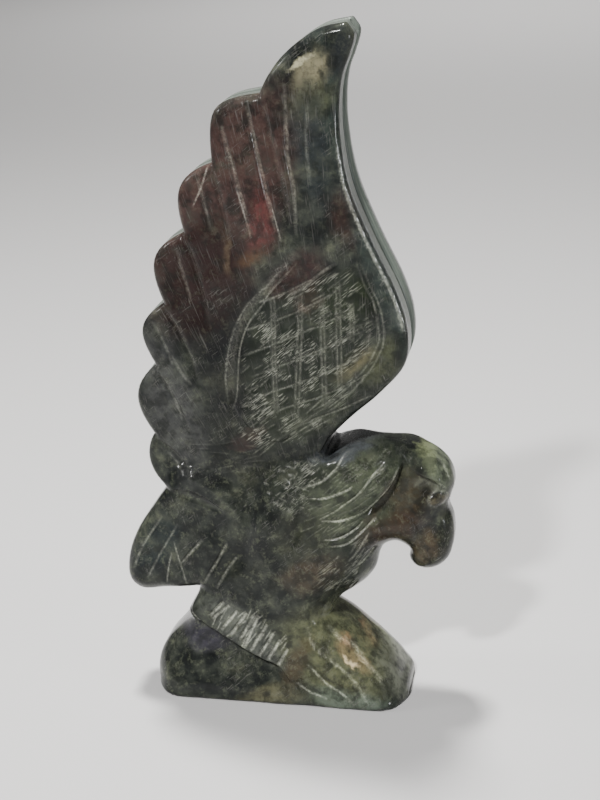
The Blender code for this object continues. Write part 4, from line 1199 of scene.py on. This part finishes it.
# The strip is wider along the wings' front edge, and ends on the slope behind the head
from_middle = y.math("ABSOLUTE", y)
wider_in_front = rising(STRIP_FRONT, x) * (1 - rising(STRIP_TIP, z)) * STRIP_WIDENING
strip = 1 - jasper.between(from_middle - wider_in_front, *STRIP_HALF_WIDTH)
strip = strip * rising(STRIP_FOOT, z - x * 0.3)
saw_lines = jasper.node("ShaderNodeCombineXYZ", {}, {1: y / 0.0010, 2: z / 0.0300})
saw_lines = jasper.between(jasper.noise(saw_lines, 1.0, 2.0), 0.46, 0.60) * strip
colour = jasper.blend(strip * 0.7, colour, SAWN_STONE)
colour = jasper.blend(saw_lines * 0.45, colour, SAW_LINE)
colour = jasper.blend(hatched_area * 0.6, colour, HATCHED_STONE)
colour = jasper.blend((streaks * 0.30).most(scuffs * 0.35), colour, SCUFF)
print("the stone's colour is done")

# %% Pale cuts, the shining edge, polish and grain
# The bottom of a cut is the stone's own colour, lightened, with pale dust on top. The same pale colour is a
# painted highlight along the wings' sharp front edge
LIGHTENING = (2.5, 2.5, 2.5)
PALE_DUST_AND_HIGHLIGHT = (0.205, 0.205, 0.172)
SHINE_FROM = (0.0060, 0.0072)
dust_and_painted_highlight = jasper.stored("pale") * (grain * 0.6 + 0.4) * (jasper.between(mottle, 0.34, 0.56) * 0.6 + 0.4)
dust_and_painted_highlight = dust_and_painted_highlight.most(strokes * 0.70)
ground = jasper.node(
    "ShaderNodeVectorMath", {"operation": "MULTIPLY_ADD"}, {0: colour, 1: LIGHTENING, 2: PALE_DUST_AND_HIGHLIGHT}
)
shine = jasper.stored("worn") * jasper.between(from_middle, *SHINE_FROM)
height = speckle * dust_and_painted_highlight * 0.00010 + mottle * 0.00003
height = height - strokes * 0.00012 - streaks * 0.00004 * (strip * 2 + 1)
jasper.surface({
    "Base Color": jasper.blend(dust_and_painted_highlight, colour, ground),
    "Roughness": broken * 0.05 + 0.10 + dust_and_painted_highlight * 0.40 + streaks * 0.15 + strip * 0.16,
    "IOR": 1.54,
    "Specular IOR Level": 0.13,
    "Coat Weight": shine * (jasper.between(mottle, 0.38, 0.50) * 0.7 + 0.3),
    "Coat Roughness": 0.20,
    "Normal": jasper.node("ShaderNodeBump", {}, {"Strength": 0.8, "Distance": 1.0, "Height": height}),
})
finished.materials.clear()
finished.materials.append(jasper.material)
print(f"{len(jasper.tree.nodes)} nodes in the jasper")

# %% [markdown]
# ## Floor, light and camera
#
# A polished dark stone shows mostly what it mirrors, so the light matters as much as the colour. Large
# lamps would lay a grey veil over the whole bird, and small ones leave short crisp highlights, so every
# lamp that faces it is small. The one overhead does most of the work, the one on the left edges the
# feathers, the low one on the right draws the bright line along the wings' sharp front edge, and a weak one
# high in front fills the carving. The fifth lights only the floor behind. The camera stands where the
# photograph was taken from, a little to the bird's front and looking down on it.

# %% The floor and the lamps
floor_finish = Finish("pale floor")
floor_finish.surface({"Base Color": (0.52, 0.515, 0.515), "Roughness": 0.6})
floor_shape = bmesh.new()
bmesh.ops.create_grid(floor_shape, x_segments=1, y_segments=1, size=4.0)
floor_mesh = bpy.data.meshes.new("floor")
floor_shape.to_mesh(floor_mesh)
floor_shape.free()
floor_mesh.materials.append(floor_finish.material)
floor = bpy.data.objects.new("floor", floor_mesh)
bpy.context.scene.collection.objects.link(floor)

world = bpy.data.worlds.new("studio")
world.use_nodes = True
background = world.node_tree.nodes["Background"]
background.inputs["Color"].default_value = (0.78, 0.77, 0.76, 1)
background.inputs["Strength"].default_value = 0.30
bpy.context.scene.world = world


def standing(place, right, above, back):
    """Puts a lamp or camera at a place, looking the opposite way to back."""
    return Matrix.Translation(place) @ Matrix(np.array([right, above, back]).T.tolist()).to_4x4()


def lamp(name, place, towards, size, power, spread, tint):
    """An area light of some width and height that faces a point, with its beam's spread in degrees."""
    light = bpy.data.lights.new(name, "AREA")
    light.shape = "RECTANGLE"
    light.size, light.size_y = size
    light.energy, light.spread, light.color = power, np.radians(spread), tint
    thing = bpy.data.objects.new(name, light)
    bpy.context.scene.collection.objects.link(thing)
    way = np.array(towards) - place
    back = -way / np.linalg.norm(way)
    right = np.cross((0, 0, 1) if abs(back[2]) < 0.99 else (0, 1, 0), back)
    right = right / np.linalg.norm(right)
    thing.matrix_world = standing(place, right, np.cross(back, right), back)


middle = (0, 0, HEIGHT / 2)
lamp("ceiling", (-0.10, 0.20, 0.95), middle, (0.11, 0.11), 9, 130, (1.0, 0.99, 0.96))
lamp("left window", (-1.3, -0.10, 0.90), middle, (0.17, 0.17), 5, 180, (1.0, 1.0, 1.0))
lamp("right window", (1.2, -0.50, 0.16), middle, (0.12, 0.26), 6, 180, (0.96, 0.98, 1.0))
lamp("front lamp", (-0.25, -0.85, 1.00), middle, (0.09, 0.09), 2.4, 60, (1.0, 0.99, 0.98))
lamp("backdrop", (0, 1.6, 1.2), (0, 1.6, 0), (0.8, 0.8), 9, 100, (1.0, 0.99, 0.97))
print("floor, world and five lamps")

# %% The camera, from the photograph's point of view
CAMERA_PLACE = (0.0869, -0.4120, 0.2306)
AZIMUTH = np.radians(11.0)
PITCH = np.radians(19.5)
ROLL = np.radians(-2.3)
LENS = 76.5

back = np.array([np.sin(AZIMUTH) * np.cos(PITCH), -np.cos(AZIMUTH) * np.cos(PITCH), np.sin(PITCH)])
right = np.array([np.cos(AZIMUTH), np.sin(AZIMUTH), 0])
above = np.cross(back, right)
rolled_right = np.cos(ROLL) * right + np.sin(ROLL) * above
rolled_above = np.cos(ROLL) * above - np.sin(ROLL) * right
camera = bpy.data.objects.new("camera", bpy.data.cameras.new("camera"))
camera.data.lens = LENS
camera.data.sensor_width = 36
camera.data.clip_start, camera.data.clip_end = 0.01, 20
camera.matrix_world = standing(CAMERA_PLACE, rolled_right, rolled_above, back)
bpy.context.scene.collection.objects.link(camera)
bpy.context.scene.camera = camera
print("camera in place")
